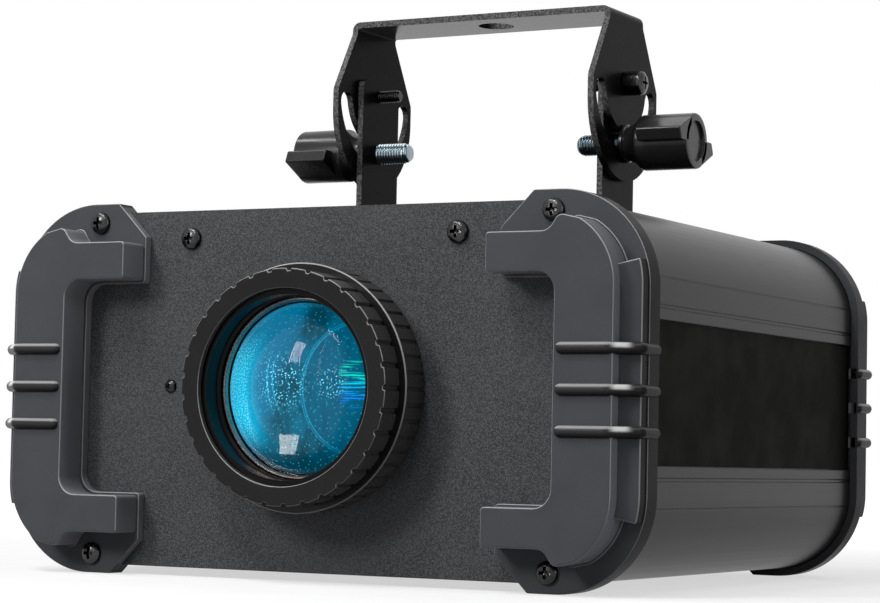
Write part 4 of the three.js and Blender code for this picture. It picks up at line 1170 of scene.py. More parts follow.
# Edge paints highlights on the rims and groove edges; flank paints light on every sideways face.
RING_PLASTIC = Moulding(
    "ring_satin_plastic", grey(20), grey(16), roughness=0.24, depth=0.008, gloss=0.16,
    edge=grey(165), flank=grey(60), flank_all=True,
)
BARREL_PLASTIC = Moulding(
    "barrel_gloss_plastic", grey(12), grey(10), roughness=0.2, depth=0.004, gloss=0.08
)
INNER_PLASTIC = Moulding("inner_matt_plastic", grey(16), grey(12), roughness=0.4)
KNOB_PLASTIC = Moulding(
    "knob_satin_plastic", grey(33), grey(28), roughness=0.24, depth=0.01, gloss=0.25
)
BLACK_STEEL = DrawnMetal(
    "screw_black_oxide", grey(66), grey(50), roughness=0.24, lines=EVEN, line_size=0.8,
    depth=0.003,
)
ZINC = DrawnMetal(
    "zinc_plate", tint(150, 164, 170), tint(128, 142, 150), roughness=0.24, lines=EVEN,
    depth=0.002,
)
INNER_STEEL = DrawnMetal("inner_steel_sheet", grey(150), grey(128), roughness=0.42)
BARE_ALUMINIUM = DrawnMetal("bare_aluminium_lines", grey(176), grey(158), roughness=0.42)
BRONZE = DrawnMetal(
    "bronze_rim_metal", tint(176, 156, 148), tint(160, 140, 130), metal=0.9, roughness=0.24,
    lines=EVEN, line_size=0.4, depth=0.002,
)
OPTIC_GLASS = Glass("optic_glass", tint(228, 247, 252), mirror=0.1)
RIPPLE_GLASS = Glass("ripple_glass", grey(240), roughness=0.02, ripple=1.2)
FILTERS = {
    "red": Glass("filter_glass_red", tint(206, 48, 40)),
    "yellow": Glass("filter_glass_yellow", tint(224, 190, 44)),
    "green": Glass("filter_glass_green", tint(44, 160, 80)),
    "cyan": Glass("filter_glass_cyan", tint(40, 170, 196)),
    "magenta": Glass("filter_glass_magenta", tint(176, 56, 150)),
}
GREEN_BOARD = CircuitBoard("solder_mask_green")
WHITE_BOARD = CircuitBoard("ceramic_white", grey(226), grey(200))
GLOWING_FILM = TintFilm("tint_film")


def seat(
    piece: Piece, name: str, finish: Finish, body: str, slot: str,
    *nodes: str,
) -> Piece:
    """Name and dress a finished piece, and set it on its body.

    Args:
        piece: The piece.
        name: Its name.
        finish: Its finish.
        body: The body that it rides on.
        slot: The record's material slot; not used.
        *nodes: The solids that it stands for.

    Returns:
        The piece.
    """
    piece.name = name
    piece.data.name = name
    finish.dress(piece)
    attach(piece, body)
    if nodes:
        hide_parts(*nodes)
    log.info("%s: %d faces, rides on %s", name, len(piece.data.polygons), body)
    return piece


def dress_nodes(finish: Finish, *nodes: str) -> None:
    """Put a finish on solids that stay.

    Args:
        finish: The finish.
        *nodes: Names of the solids.
    """
    for node in nodes:
        finish.dress(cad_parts[node])
    log.info("%s on %s", finish.name, ", ".join(nodes))


# Sub-assemblies


@dataclass
class Housing:
    """Sheet panels, covers, side rails and label strips."""

    half_width: float = 150.8
    half_height: float = 77.8
    shoulder: float = 36.2
    wall: float = 2.5
    rail_top: float = 14.6
    label_half: float = 29.65
    label_recess: float = 3.0
    groove: float = 35.0
    groove_width: float = 2.0
    groove_depth: float = 0.5
    crease_angle: float = 8.6
    crease_depth: float = 0.3
    crease_width: float = 1.0

    @property
    def shoulder_centre(self) -> Point:
        """Middle of the round shoulder."""
        return self.half_width - self.shoulder, self.half_height - self.shoulder

    def section(self, grow: float = 0.0, steps: int = 20) -> list[Point]:
        """Give the housing's outline.

        Args:
            grow: How far to grow it.
            steps: Chords in each shoulder.

        Returns:
            The outline's points.
        """
        corner = arc(self.shoulder_centre, self.shoulder + grow, 0, 90, steps)
        upper = [*corner, *[(-x, z) for x, z in reversed(corner)]]
        return [*upper, *[(-x, -z) for x, z in upper]]

    def rail_profile(self) -> list[Point]:
        """Give the right rail's profile: outer skin down, lining back up."""
        x, z = self.shoulder_centre

        def on_shoulder(degrees: float, depth: float) -> Point:
            """Give a point of the shoulder, sunk by a depth."""
            return arc((x, z), self.shoulder - depth, degrees, degrees, 1)[0]

        turn = math.degrees(self.crease_width / 2 / self.shoulder)
        wide, recess = self.half_width, self.half_width - self.label_recess
        upper = [
            (x - self.rail_top, self.half_height),
            *arc((x, z), self.shoulder, 90, 14, 24),
            on_shoulder(self.crease_angle + turn, 0),
            on_shoulder(self.crease_angle + turn / 3, self.crease_depth),
            on_shoulder(self.crease_angle - turn / 3, self.crease_depth),
            on_shoulder(self.crease_angle - turn, 0),
            on_shoulder(4, 0),
            on_shoulder(0, 0),
            (wide, self.groove + self.groove_width / 2),
            (wide - self.groove_depth, self.groove + self.groove_width / 4),
            (wide - self.groove_depth, self.groove - self.groove_width / 4),
            (wide, self.groove - self.groove_width / 2), (wide, self.label_half + 0.4),
            (wide - 0.4, self.label_half), (recess, self.label_half),
        ]
        lining = [
            (x - self.rail_top, self.half_height - self.wall),
            *arc((x, z), self.shoulder - self.wall, 90, 0, 12),
            (wide - self.wall, self.label_half + self.wall),
            (recess - self.wall, self.label_half + self.wall),
        ]
        return [*with_mirror(upper), *reversed(with_mirror(lining))]

    def build(self) -> None:
        """Build the rails and dress the panels and covers."""
        low, high = drawn_box("side_rail_right")
        rail = plate(Axis.Y, self.rail_profile(), low.y, high.y)
        shade(rail, 24)
        left = turned_copy(rail, Axis.Z, at(0, (low.y + high.y) / 2, 0))
        for side, piece in ((Side.RIGHT, rail), (Side.LEFT, left)):
            name, node = f"rail_extrusion_{side.word}", f"side_rail_{side.word}"
            seat(piece, name, RAIL_METAL, "housing", "rail_aluminium", node)
        dress_nodes(FRONT_COAT, "front_panel", "rear_panel")
        dress_nodes(CASE_COAT, "top_cover", "bottom_cover")
        dress_nodes(LABEL_FILM, "label_panel_right", "label_panel_left")


@dataclass
class Bumpers:
    """Four corner bumpers: plate with a wrapping lip, C-shaped grip, side pad and three ribs."""

    housing: Housing
    shell: float = 3.8
    plate_depth: float = 4.3
    lip: float = 5.5
    foot: float = 1.1
    plate_bevel: float = 0.6
    grip_depth: float = 19.7
    grip_bevel: float = 0.8
    rim: float = 0.9
    grip_reach: float = 31.0
    grip_radius: float = 30.5
    grip_width: float = 26.0
    grip_length: float = 57.0
    arm_drop: float = 14.5
    arm_height: float = 16.2
    arm_fillet: float = 8.0
    arm_tip: float = 1.5
    crest_drop: float = 7.6
    crest_reach: float = 6.4
    crest_foot: float = 1.9
    top_flat: float = 12.2
    tip_rise: float = 3.1
    pad_angle: float = 16.0
    pad_inner: float = 5.7
    pad_outer: float = 9.7
    pad_shy: float = 0.6
    rib_width: float = 5.0
    rib_height: float = 2.4
    rib_pitch: float = 16.5
    rib_start: float = 1.3
    rib_turn: float = 2.5

    def __post_init__(self) -> None:
        """Work out the shared places."""
        self.x, self.z = self.housing.shoulder_centre
        self.outer = self.x + self.grip_reach
        self.inner = self.outer - self.grip_width
        self.tip = self.outer - self.grip_length
        self.arm_top = self.housing.half_height - self.arm_drop
        self.arm_low = self.arm_top - self.arm_height
        self.radius = self.housing.shoulder + self.shell
        self.side = self.x + self.radius - self.pad_shy

    def base(self) -> Piece:
        """Model the plate with its lip, seated on the housing.

        Returns:
            The new piece.
        """
        foot = self.foot
        corners = with_mirror(
            [
                (self.inner - foot, self.arm_low - foot, self.arm_fillet),
                (self.tip - foot, self.arm_low - foot, self.arm_tip),
                (self.tip - foot, self.arm_top + self.tip_rise, self.arm_tip),
                (self.x - self.top_flat, self.housing.half_height + self.shell, foot),
                *arc((self.x, self.z), self.radius, 90, 0, 28),
            ]
        )
        base = plate(Axis.Y, rounded(corners), -self.plate_depth, self.lip)
        seat_cut = plate(Axis.Y, self.housing.section(FIT, 24), -FIT, self.lip + 2)
        cut(base, seat_cut)
        return bevel_faces(
            base, self.plate_bevel, 3, lambda middle, normal: normal.y < -0.9 and middle.y < -4
        )

    def grip(self) -> Piece:
        """Model the C-shaped grip on the plate, with the small rim round its outer foot.

        Returns:
            The new piece.
        """

        middle = (self.outer - self.grip_radius, self.z)
        crest = self.housing.half_height - self.crest_drop

        def level(grow: float, start: float, edge: float) -> Piece:
            """Model the grip or its rim, from its front face down into the plate."""
            corners = with_mirror(
                [
                    (self.inner, self.arm_low, self.arm_fillet),
                    (self.tip, self.arm_low, self.arm_tip),
                    (self.tip, self.arm_top, self.arm_tip),
                    (self.x + self.crest_foot, self.arm_top, 6.0),
                    (self.x + self.crest_reach, crest + grow, 3.5),
                    *arc(middle, self.grip_radius + grow, 60, 0, 16),
                ]
            )
            body = plate(Axis.Y, rounded(corners, 8), start, -1.5)
            return bevel_faces(body, edge, 3, looks_front)

        grip = level(0.0, -self.grip_depth, self.grip_bevel)
        return fuse(grip, level(self.rim, -self.plate_depth - self.rim, 0.7))

    def pad(self) -> Piece:
        """Model the pad on the side: its front slopes and its ends follow the corner.

        Returns:
            The new piece.
        """
        inner, outer = self.grip_radius - self.grip_bevel, self.radius - self.pad_shy
        face = -self.grip_depth
        section = [
            (inner, face + self.pad_inner), (outer, face + self.pad_outer), (outer, 0.0),
            (inner, 0.0),
        ]
        turn = math.radians(self.pad_angle)
        piece = chain(
            [
                at(self.x + r * math.cos(turn), y, -self.z - r * math.sin(turn))
                for r, y in section
            ]
        )
        fill()
        for centre in (-self.z, self.z):
            bpy.ops.mesh.spin(steps=6, angle=turn, center=at(self.x, 0, centre), axis=(0, 1, 0))
            if centre < 0:
                rise = Vector((0, 0, 2 * self.z * MM))
                bpy.ops.mesh.extrude_region_move(TRANSFORM_OT_translate={"value": rise})
        tidy(piece)
        return bevel(piece, 0.7, 3, 30)

    def rib(self, height: float) -> Piece:
        """Model one rib over the grip's face, down the pad and along the side.

        Args:
            height: Height of its middle over the lens axis.

        Returns:
            The new piece.
        """
        half = self.rib_width / 2
        crest = -self.grip_depth - self.rib_height + half
        side = self.side + self.rib_height - half
        slope = -self.grip_depth + self.pad_outer
        first = self.inner + self.rib_start
        dome = (0.1, 0.3, 0.6, 1.0)
        path = rounded(
            [
                (first, crest, 0.0), *[(first + half * share, crest, 0.0) for share in dome],
                (self.outer - 2.2, crest, self.rib_turn), (side, slope - 0.6, self.rib_turn),
                *[(side, self.lip - half * share, 0.0) for share in reversed(dome)],
                (side, self.lip, 0.0),
            ],
            6,
        )
        under = [
            (self.side - 4.0, self.lip), (self.side - 5.0, slope + 2.5),
            (self.outer - 5.0, crest + 6.0), (self.inner + 4.0, crest + 2.5),
        ]
        bar = tube([at(x, y, height) for x, y in path], half, domed=True)
        web = plate(Axis.Z, [*path[5:], *under], height - half, height + half)
        return fuse(bar, web)

    def build(self) -> None:
        """Build one bumper and seat it at the four corners."""
        first = shade(fuse(self.base(), self.grip(), self.pad()), 38)
        bars = [self.rib(self.rib_pitch * place) for place in (-1, 0, 1)]
        ribs = shade(fuse(*bars), 38)
        middle = at(0, drawn_box("rear_panel")[1].y / 2, 0)
        turns = {"front_left": Axis.Y, "rear_right": Axis.X, "rear_left": Axis.Z}
        places = {"front_right": (first, ribs)}
        for corner, axis in turns.items():
            places[corner] = (turned_copy(first, axis, middle), turned_copy(ribs, axis, middle))
        for corner, (body, three) in places.items():
            name, node = f"bumper_moulding_{corner}", f"bumper_{corner}"
            seat(body, name, BUMPER_PLASTIC, "housing", "bumper_plastic", node)
            seat(three, f"bumper_ribs_{corner}", RIB_PLASTIC, "housing", "bumper_plastic")


@dataclass
class Screws:
    """Phillips pan head screws and the small button head."""

    pan_radius: float = 4.8
    pan_height: float = 3.2
    crown: float = 0.72
    cross_reach: float = 0.54
    cross_half: float = 0.15
    cross_depth: float = 0.75
    foot: float = 0.4
    button_radius: float = 3.0
    button_height: float = 1.8
    corner_spot: Spot = (111.7, -4.2, 73.0)
    edge_spot: Point = (65.9, 65.5)
    button_spot: Spot = (-75.0, 0.0, 0.9)

    def head(self, radius: float, height: float) -> Piece:
        """Model a pan head with a cross recess, looking along -Y from the front panel.

        Args:
            radius: Radius of the head.
            height: Its height.

        Returns:
            The new piece.
        """
        dome = arc((0, 0), 1.0, 90, 0, 8)
        rim = height * (1 - self.crown)
        profile = [(r * radius, -h * height * self.crown - rim) for r, h in dome]
        profile[0] = (0.0, profile[0][1])
        head = lathe(Axis.Y, [*profile, (radius, self.foot), (0.0, self.foot)], steps=32)
        arm, half = radius * self.cross_reach, radius * self.cross_half
        floor, above = height * self.cross_depth - height, -height - 0.6
        wings = []
        for across, up in ((arm, half), (half, arm)):
            wings.append(plate(Axis.Y, box_outline(-across, across, -up, up), -height - 1, floor))
        cone = [(0.0, floor + 0.5), (radius * 0.3, above), (0.0, above)]
        point = lathe(Axis.Y, cone, steps=16)
        cut(head, *wings, point)
        bevel(head, 0.08, 1, 40)
        return shade(head, 32)

    def button(self, radius: float, height: float) -> Piece:
        """Model a plain domed head with a hexagon socket.

        Args:
            radius: Radius of the head.
            height: Its height.

        Returns:
            The new piece.
        """
        profile = [(r * radius, -h * height) for r, h in arc((0, 0), 1.0, 90, 0, 8)]
        profile[0] = (0.0, -height)
        head = lathe(Axis.Y, [*profile, (radius, self.foot), (0.0, self.foot)], steps=24)
        cut(head, plate(Axis.Y, circle((0, 0), radius * 0.42, 6), -height - 1, -height * 0.4))
        return shade(head, 40)

    def build(self) -> None:
        """Build the screws of the bumpers and panels; only the rear panel has lower ones."""
        pan = self.head(self.pan_radius, self.pan_height)
        x, y, z = self.corner_spot
        across, up = self.edge_spot
        spots = [(side * x, y, level * z) for side in (-1, 1) for level in (-1, 1)]
        spots.extend((side * across, 0.0, up) for side in (-1, 1))
        middle = at(0, drawn_box("rear_panel")[1].y / 2, 0)
        made: list[Piece] = []
        for spot in spots:
            made.append(moved_copy(pan, spot))
            made.append(turned_copy(made[-1], Axis.Z, middle))
        for side in (-1, 1):
            low = moved_copy(pan, (side * across, 0.0, -up))
            made.append(turned_copy(low, Axis.Z, middle))
            discard(low)
        pattern = self.button(self.button_radius, self.button_height)
        button = moved_copy(pattern, self.button_spot)
        discard(pan, pattern)
        fuse(made[0], *made[1:])
        seat(made[0], "case_screws", BLACK_STEEL, "housing", "black_steel")
        seat(button, "panel_button_screw", BLACK_STEEL, "housing", "black_steel")


@dataclass
class Carrier:
    """Yoke, fixed straps, pivot screws, clamp studs and clamp knobs."""

    sheet: float = 3.0
    pivot: Point = (158.7, 149.0)
    half_width: float = 69.1
    top_rise: float = 34.5
    ear_half: float = 36.0
    ear_drop: float = 10.0
    shoulder_rise: float = 29.0
    top_half: float = 18.7
    slot_radius: float = 28.4
    slot_width: float = 11.0
    slot_angle: float = 78.0
    clamp_hole: float = 8.5
    hole_room: float = 0.15
    pivot_radius: float = 3.0
    pivot_pitch: float = 1.0
    stud_radius: float = 5.0
    stud_pitch: float = 1.5
    knob_radius: float = 13.0
    knob_length: float = 36.0
    wing_span: float = 20.6
    wing_tip: float = 4.4
    wing_length: float = 22.4

    @property
    def stud(self) -> Point:
        """Where the clamp stud's axis is."""
        return self.pivot[0], self.pivot[1] - self.slot_radius

    def slot(self) -> list[Point]:
        """Give the outline of the ear's arc slot."""
        half = self.slot_width / 2
        first, last = 270 - self.slot_angle, 270 + self.slot_angle

        def end(angle: float) -> Point:
            """Give the middle of the slot at an angle."""
            return arc(self.pivot, self.slot_radius, angle, angle, 1)[0]

        return [
            *arc(self.pivot, self.slot_radius + half, first, last, 40),
            *arc(end(last), half, last, last + 180, 12)[1:-1],
            *arc(self.pivot, self.slot_radius - half, last, first, 40),
            *arc(end(first), half, first + 180, first + 360, 12)[1:-1],
        ]

    def yoke(self) -> Piece:
        """Model the bent yoke with its ears, slots and holes.

        Returns:
            The new piece.
        """
        y, z = self.pivot
        top, low = z + self.top_rise, z - self.ear_drop - self.ear_half
        wide, inside = self.half_width, self.half_width - self.sheet

        def band(half: float, height: float, radius: float) -> list[Point]:
            """Give a tall outline with rounded upper corners."""
            feet = [(-half, low - 2), (half, low - 2)]
            return rounded([*feet, (half, height, radius), (-half, height, radius)], 8)

        front, back = y - self.ear_half, y + self.ear_half
        yoke = plate(Axis.Y, band(wide, top, 4.0), front, back)
        cut(yoke, plate(Axis.Y, band(inside, top - self.sheet, 1.0), front - 2, back + 2))
        ear = rounded(
            [
                (y + self.top_half, top + 2), (y - self.top_half, top + 2),
                (y - self.top_half, z + self.shoulder_rise, 4.0), (front, z, 6.0),
                *arc((y, z - self.ear_drop), self.ear_half, 180, 360, 48), (back, z, 6.0),
                (y + self.top_half, z + self.shoulder_rise, 4.0),
            ]
        )
        boolean(yoke, [plate(Axis.X, ear, -wide - 2, wide + 2)], "INTERSECT")
        cut(
            yoke,
            plate(Axis.X, self.slot(), -wide - 2, wide + 2),
            plate(Axis.X, circle(self.pivot, self.pivot_radius + FIT, 32), -wide - 2, wide + 2),
            plate(Axis.Z, circle((0, y), self.clamp_hole, 48), top - self.sheet - 2, top + 2),
        )
        bevel(yoke, 0.3, 2, 30)
        return shade(yoke, 30)

    def strap(self) -> Piece:
        """Model the right strap with its foot under the cover.

        Returns:
            The new piece.
        """
        low, high = drawn_box("bracket_strap_right")
        foot_top = low.z + self.sheet
        outline = rounded(
            [(low.y, low.z), (high.y, low.z), (high.y, high.z, 4.0), (low.y, high.z, 4.0)], 8
        )
        outer, inner = high.x, high.x - self.sheet
        strap = plate(Axis.X, outline, inner, outer)
        holes = ((self.pivot, self.pivot_radius, 32), (self.stud, self.stud_radius, 40))
        for centre, radius, steps in holes:
            hole = circle(centre, radius + self.hole_room, steps)
            cut(strap, plate(Axis.X, hole, inner - 2, outer + 2))
        bevel(strap, 0.3, 2, 30)
        foot = plate(Axis.Z, box_outline(low.x, inner + 0.5, low.y, high.y, 3.0), low.z, foot_top)
        return shade(fuse(strap, bevel(foot, 0.3, 2, 30)), 30)

    @staticmethod
    def thread(radius: float, pitch: float, start: float, end: float) -> list[Point]:
        """Give a threaded bar's profile from its chamfered end.

        Args:
            radius: Outer radius.
            pitch: Distance between ridges.
            start: Station of the chamfered end.
            end: Station where the ridges stop.

        Returns:
            (radius, station) points, from the axis outwards.
        """
        core = radius - pitch * 0.6
        points = [(0.0, start), (core - pitch * 0.3, start)]
        ridges = int((end - start - pitch * 0.5) / pitch)
        for i in range(ridges):
            root = start + pitch * (0.5 + i)
            crest = radius - (pitch * 0.3 if i == 0 else 0.0)
            ridge = [(crest, root + pitch * share) for share in (0.42, 0.58)]
            points.extend([(core, root), *ridge])
        return [*points, (core, start + pitch * (0.5 + ridges))]

    def pivot_screw(self) -> Piece:
        """Model the right pivot screw: cheese head with a cross recess and a threaded end.

        Returns:
            The new piece.
        """
        low, high = drawn_box("pivot_screw_right")
        head = self.half_width + FIT
        wide = (high.y - low.y) / 2
        profile = [
            *self.thread(self.pivot_radius, self.pivot_pitch, low.x, low.x + 13),
            (self.pivot_radius, low.x + 14.0), (self.pivot_radius, head), (wide - 0.4, head),
            (wide, head + 0.4), (wide, high.x - 2.4), (wide - 0.5, high.x - 1.1),
            (wide - 1.7, high.x - 0.25), (wide - 3.2, high.x), (0.0, high.x),
        ]
        screw = lathe(Axis.X, profile, self.pivot, 40)
        y, z = self.pivot
        wings = [
            plate(Axis.X, box_outline(y - a, y + a, z - b, z + b), high.x - 2.2, high.x + 1)
            for a, b in ((2.9, 0.6), (0.6, 2.9))
        ]
        cut(screw, *wings)
        return shade(screw, 32)

    def clamp_stud(self) -> Piece:
        """Model the right threaded stud.

        Returns:
            The new piece.
        """
        low, high = drawn_box("clamp_stud_right")
        ridged = low.x + 24
        profile = [
            *self.thread(self.stud_radius, self.stud_pitch, low.x, ridged),
            (self.stud_radius - 0.5, ridged + 0.4), (self.stud_radius - 0.5, high.x),
            (0.0, high.x),
        ]
        return shade(lathe(Axis.X, profile, self.stud, 40), 60)

    def clamp_knob(self) -> Piece:
        """Model the right knob: collar, flared neck, round body and two tangential wings.

        Returns:
            The new piece.
        """
        inner = self.half_width + FIT
        outer = inner + self.knob_length
        y, z = self.stud
        radius = self.knob_radius
        body = lathe(
            Axis.X,
            [
                (0.0, inner), (8.6, inner), (9.0, inner + 0.4), (9.0, inner + 1.6),
                (8.2, inner + 2.2), (8.4, inner + 3.4), (9.6, inner + 6.0), (11.2, inner + 8.0),
                (12.6, inner + 9.4), (radius, inner + 10.4), (radius, outer - 0.9),
                (radius - 0.3, outer - 0.25), (radius - 0.9, outer), (9.6, outer),
                (9.2, outer - 0.4), (9.0, outer - 1.4), (0.0, outer - 1.4),
            ],
            self.stud,
            56,
        )
        lean = math.atan2(self.wing_tip, -self.wing_span) - math.acos(
            radius / math.hypot(self.wing_tip, self.wing_span)
        )
        shape = [
            (-6.0, 2.0, 0.0),
            (radius * math.cos(lean) * 0.98, radius * math.sin(lean) * 0.98, 0.0),
            (-self.wing_span, self.wing_tip, 1.0), (2.4 - self.wing_span, -1.2, 1.0),
            (-6.0, -1.2, 0.0),
        ]
        wings = []
        for side in (1, -1):
            outline = rounded([(y + side * u, z + side * v, r) for u, v, r in shape], 4)
            wing = plate(Axis.X, outline, outer - self.wing_length, outer)
            wings.append(bevel(wing, 0.7, 3, 30))
        for wing in wings:
            cut(wing, plate(Axis.X, circle(self.stud, 9.3, 48), outer - 1.2, outer + 2))
        return shade(fuse(body, *wings), 40)

    def build(self) -> None:
        """Build the right-hand pieces, turn copies to the left, and build the yoke."""
        middle = at(0, self.pivot[0], 0)
        seat(self.yoke(), "yoke_sheet", YOKE_COAT, "yoke", "yoke_coat", "yoke")
        rows = (
            (self.strap, "strap_sheet", YOKE_COAT, "housing", "yoke_coat", "bracket_strap"),
            (self.pivot_screw, "pivot_bolt", BLACK_STEEL, "housing", "black_steel", "pivot_screw"),
            (self.clamp_stud, "clamp_thread", ZINC, "clamp", "zinc_steel", "clamp_stud"),
            (self.clamp_knob, "clamp_handle", KNOB_PLASTIC, "clamp", "knob_plastic", "clamp_knob"),
        )
        for model, name, finish, body, slot, node in rows:
            right = model()
            left = turned_copy(right, Axis.Z, middle)
            for side, piece in ((Side.RIGHT, right), (Side.LEFT, left)):
                rides = f"clamp_{side.word}" if body == "clamp" else body
                seat(piece, f"{name}_{side.word}", finish, rides, slot, f"{node}_{side.word}")


@dataclass
class LensSet:
    """Lock ring, focus ring, barrel, glass with its retaining ring, and the glowing film."""

    lock_radius: float = 51.8
    lock_flange: float = 52.6
    lock_grooves: int = 48
    lock_groove: Point = (1.9, 0.8)
    focus_radius: float = 49.5
    focus_grooves: int = 33
    focus_groove: Point = (2.6, 1.1)
    ring_bore: float = 44.9
    lip_bore: float = 41.2
    sag: float = 13.0
    film_radius: float = 35.1
    film_levels: Point = (-9.2, -8.0)

    @staticmethod
    def grooved(radius: float, count: int, width: float, depth: float) -> list[Point]:
        """Give a circle with evenly spaced grooves.

        Args:
            radius: Radius over the pads.
            count: Number of grooves.
            width: Width of a groove.
            depth: Depth of a groove.

        Returns:
            The outline's points.
        """
        points: list[Point] = []
        pitch = 360 / count
        half = math.degrees(width / 2 / radius)
        for i in range(count):
            turn = pitch * i
            floor = arc((0, 0), radius - depth, turn - half * 0.5, turn + half * 0.5, 2)
            pad = arc((0, 0), radius, turn + half, turn + pitch - half, 3)
            points.extend([*floor, *pad])
        return points

    def lock_ring(self) -> Piece:
        """Model the lock ring: ribbed body and a plain flange at its front.

        Returns:
            The new piece.
        """
        low, high = drawn_box("lock_ring")
        outline = self.grooved(self.lock_radius, self.lock_grooves, *self.lock_groove)
        ring = prism_ring(outline, self.ring_bore, low.y + 1.2, high.y)
        bevel_faces(ring, 0.3, 2, looks_back)
        bore, edge = self.ring_bore, self.lock_flange
        flange = lathe(
            Axis.Y,
            [
                (bore, low.y), (edge - 0.5, low.y), (edge, low.y + 0.5), (edge, low.y + 1.2),
                (edge - 0.4, low.y + 1.6), (bore, low.y + 1.6),
            ],
            steps=128,
        )
        return shade(fuse(ring, flange), 35)

    def focus_ring(self) -> Piece:
        """Model the focus ring: padded grip, front lip and the recess behind it.

        Returns:
            The new piece.
        """
        low, high = drawn_box("focus_ring")
        outline = self.grooved(self.focus_radius, self.focus_grooves, *self.focus_groove)
        ring = prism_ring(outline, self.lip_bore, low.y, high.y)
        cut(ring, plate(Axis.Y, circle((0, 0), self.ring_bore, 128), low.y + 2.5, high.y + 2))
        bevel_faces(ring, 0.6, 3, looks_front)
        return shade(ring, 35)

    def barrel(self) -> Piece:
        """Model the barrel with its stepped bore and key.

        Returns:
            The new piece.
        """
        low, high = drawn_box("lens_barrel")
        barrel = lathe(
            Axis.Y,
            [
                (38.7, low.y), (42.2, low.y), (42.6, low.y + 0.4), (42.6, high.y), (35.4, high.y),
                (35.4, -8.7), (38.4, -8.7), (38.4, -17.5), (39.3, -18.0), (39.3, -20.4),
                (38.7, -20.9),
            ],
            steps=128,
        )
        key = plate(Axis.Z, box_outline(-1.9, 1.9, high.y - 4, high.y, 0.3), low.z, -40.0)
        return shade(fuse(barrel, key), 35)

    def glass(self) -> Piece:
        """Model the plano-convex glass.

        Returns:
            The new piece.
        """
        low, high = drawn_box("objective_lens")
        rim = (high.x - low.x) / 2
        dish = rim - 1.8
        ball = (dish * dish + self.sag * self.sag) / (2 * self.sag)
        reach = math.degrees(math.asin(dish / ball))
        dome = arc((0, low.y + ball), ball, -90, -90 + reach, 28)
        front = low.y + self.sag
        profile = [(max(r, 0.0), y) for r, y in dome]
        profile[0] = (0.0, low.y)
        glass = lathe(
            Axis.Y,
            [*profile, (rim - 0.3, front), (rim, front + 0.3), (rim, high.y), (0.0, high.y)],
            steps=128,
        )
        return shade(glass, 40)

    def retainer(self) -> Piece:
        """Model the thin metal ring that holds the glass.

        Returns:
            The new piece.
        """
        low, high = drawn_box("lens_retainer")
        rim = (high.x - low.x) / 2
        ring = lathe(
            Axis.Y,
            [
                (rim - 1.5, low.y + 1.0), (rim - 0.7, low.y), (rim - 0.3, low.y),
                (rim, low.y + 0.4), (rim, high.y), (rim - 1.5, high.y),
            ],
            steps=128,
        )
        return shade(ring, 50)

    def film(self) -> Piece:
        """Model the thin disc behind the glass that carries the painted glow.

        Returns:
            The new piece.
        """
        front, back = self.film_levels
        rim = self.film_radius
        film = lathe(Axis.Y, [(0.0, front), (rim, front), (rim, back), (0.0, back)], steps=96)
        return shade(film, 30)

    def build(self) -> None:
        """Build the lens from the lock ring forwards."""
        for node, ring in (("lock_ring", self.lock_ring()), ("focus_ring", self.focus_ring())):
            seat(ring, f"{node}_grip", RING_PLASTIC, node, "ring_plastic", node)
        rides = "lens_carriage"
        seat(self.barrel(), "barrel_tube", BARREL_PLASTIC, rides, "matt_plastic", "lens_barrel")
        seat(self.glass(), "objective_glass", OPTIC_GLASS, rides, "lens_glass", "objective_lens")
        seat(self.retainer(), "retaining_ring", BRONZE, rides, "bronze_rim", "lens_retainer")
        seat(self.film(), "lens_film", GLOWING_FILM, rides, "clear_glass")


@dataclass
class Optics:
    """Everything between the lens and the lamp, and the boards beside it."""

    fins: int = 9
    fin: float = 2.0
    plastic: tuple[str, ...] = ("lens_sleeve", "condenser_holder")
    steel: tuple[str, ...] = (
        "optics_tray", "ripple_bracket", "lamp_bracket", "effect_motor", "colour_motor",
        "effect_wheel_hub", "colour_wheel_hub", "speed_pot", "colour_pot",
    )

    def led(self) -> Piece:
        """Model the lamp's board with its dome and the two screw lugs.

        Returns:
            The new piece.
        """
        low, high = drawn_box("led_module")
        rim, face = (high.x - low.x) / 2, high.y - 3.0
        dome = arc((0, face), face - low.y, -90, 0, 10)
        profile = [(max(r, 0.0), y) for r, y in dome]
        profile[0] = (0.0, low.y)
        board = lathe(
            Axis.Y,
            [*profile, (rim - 0.3, face), (rim, face + 0.3), (rim, high.y), (0.0, high.y)],
            steps=48,
        )
        return shade(board, 40)

    def sink(self) -> Piece:
        """Model the heat sink: base and nine fins with rounded tips.

        Returns:
            The new piece.
        """
        low, high = drawn_box("heat_sink")
        sink = plate(Axis.Z, box_outline(low.x, high.x, low.y, low.y + 5.0, 0.5), low.z, high.z)
        pitch = (high.x - low.x - self.fin) / (self.fins - 1)
        fins = []
        for i in range(self.fins):
            x = low.x + pitch * i
            outline = box_outline(x, x + self.fin, low.y + 4, high.y, 0.8)
            fins.append(plate(Axis.Z, outline, low.z, high.z))
        return shade(fuse(sink, *fins), 30)

    def build(self) -> None:
        """Dress the solids and seat the lamp and its heat sink."""
        dress_nodes(INNER_PLASTIC, *self.plastic)
        dress_nodes(INNER_STEEL, *self.steel)
        dress_nodes(RIPPLE_GLASS, "fixed_ripple_glass", "effect_wheel")
        dress_nodes(OPTIC_GLASS, "condenser_lens")
        dress_nodes(BARE_ALUMINIUM, "colour_wheel")
        dress_nodes(GREEN_BOARD, "power_supply_board", "control_board")
        for name, finish in FILTERS.items():
            dress_nodes(finish, f"filter_{name}")
        seat(self.led(), "led_dome", WHITE_BOARD, "housing", "board_white", "led_module")
        seat(self.sink(), "finned_sink", BARE_ALUMINIUM, "housing", "bare_aluminium", "heat_sink")


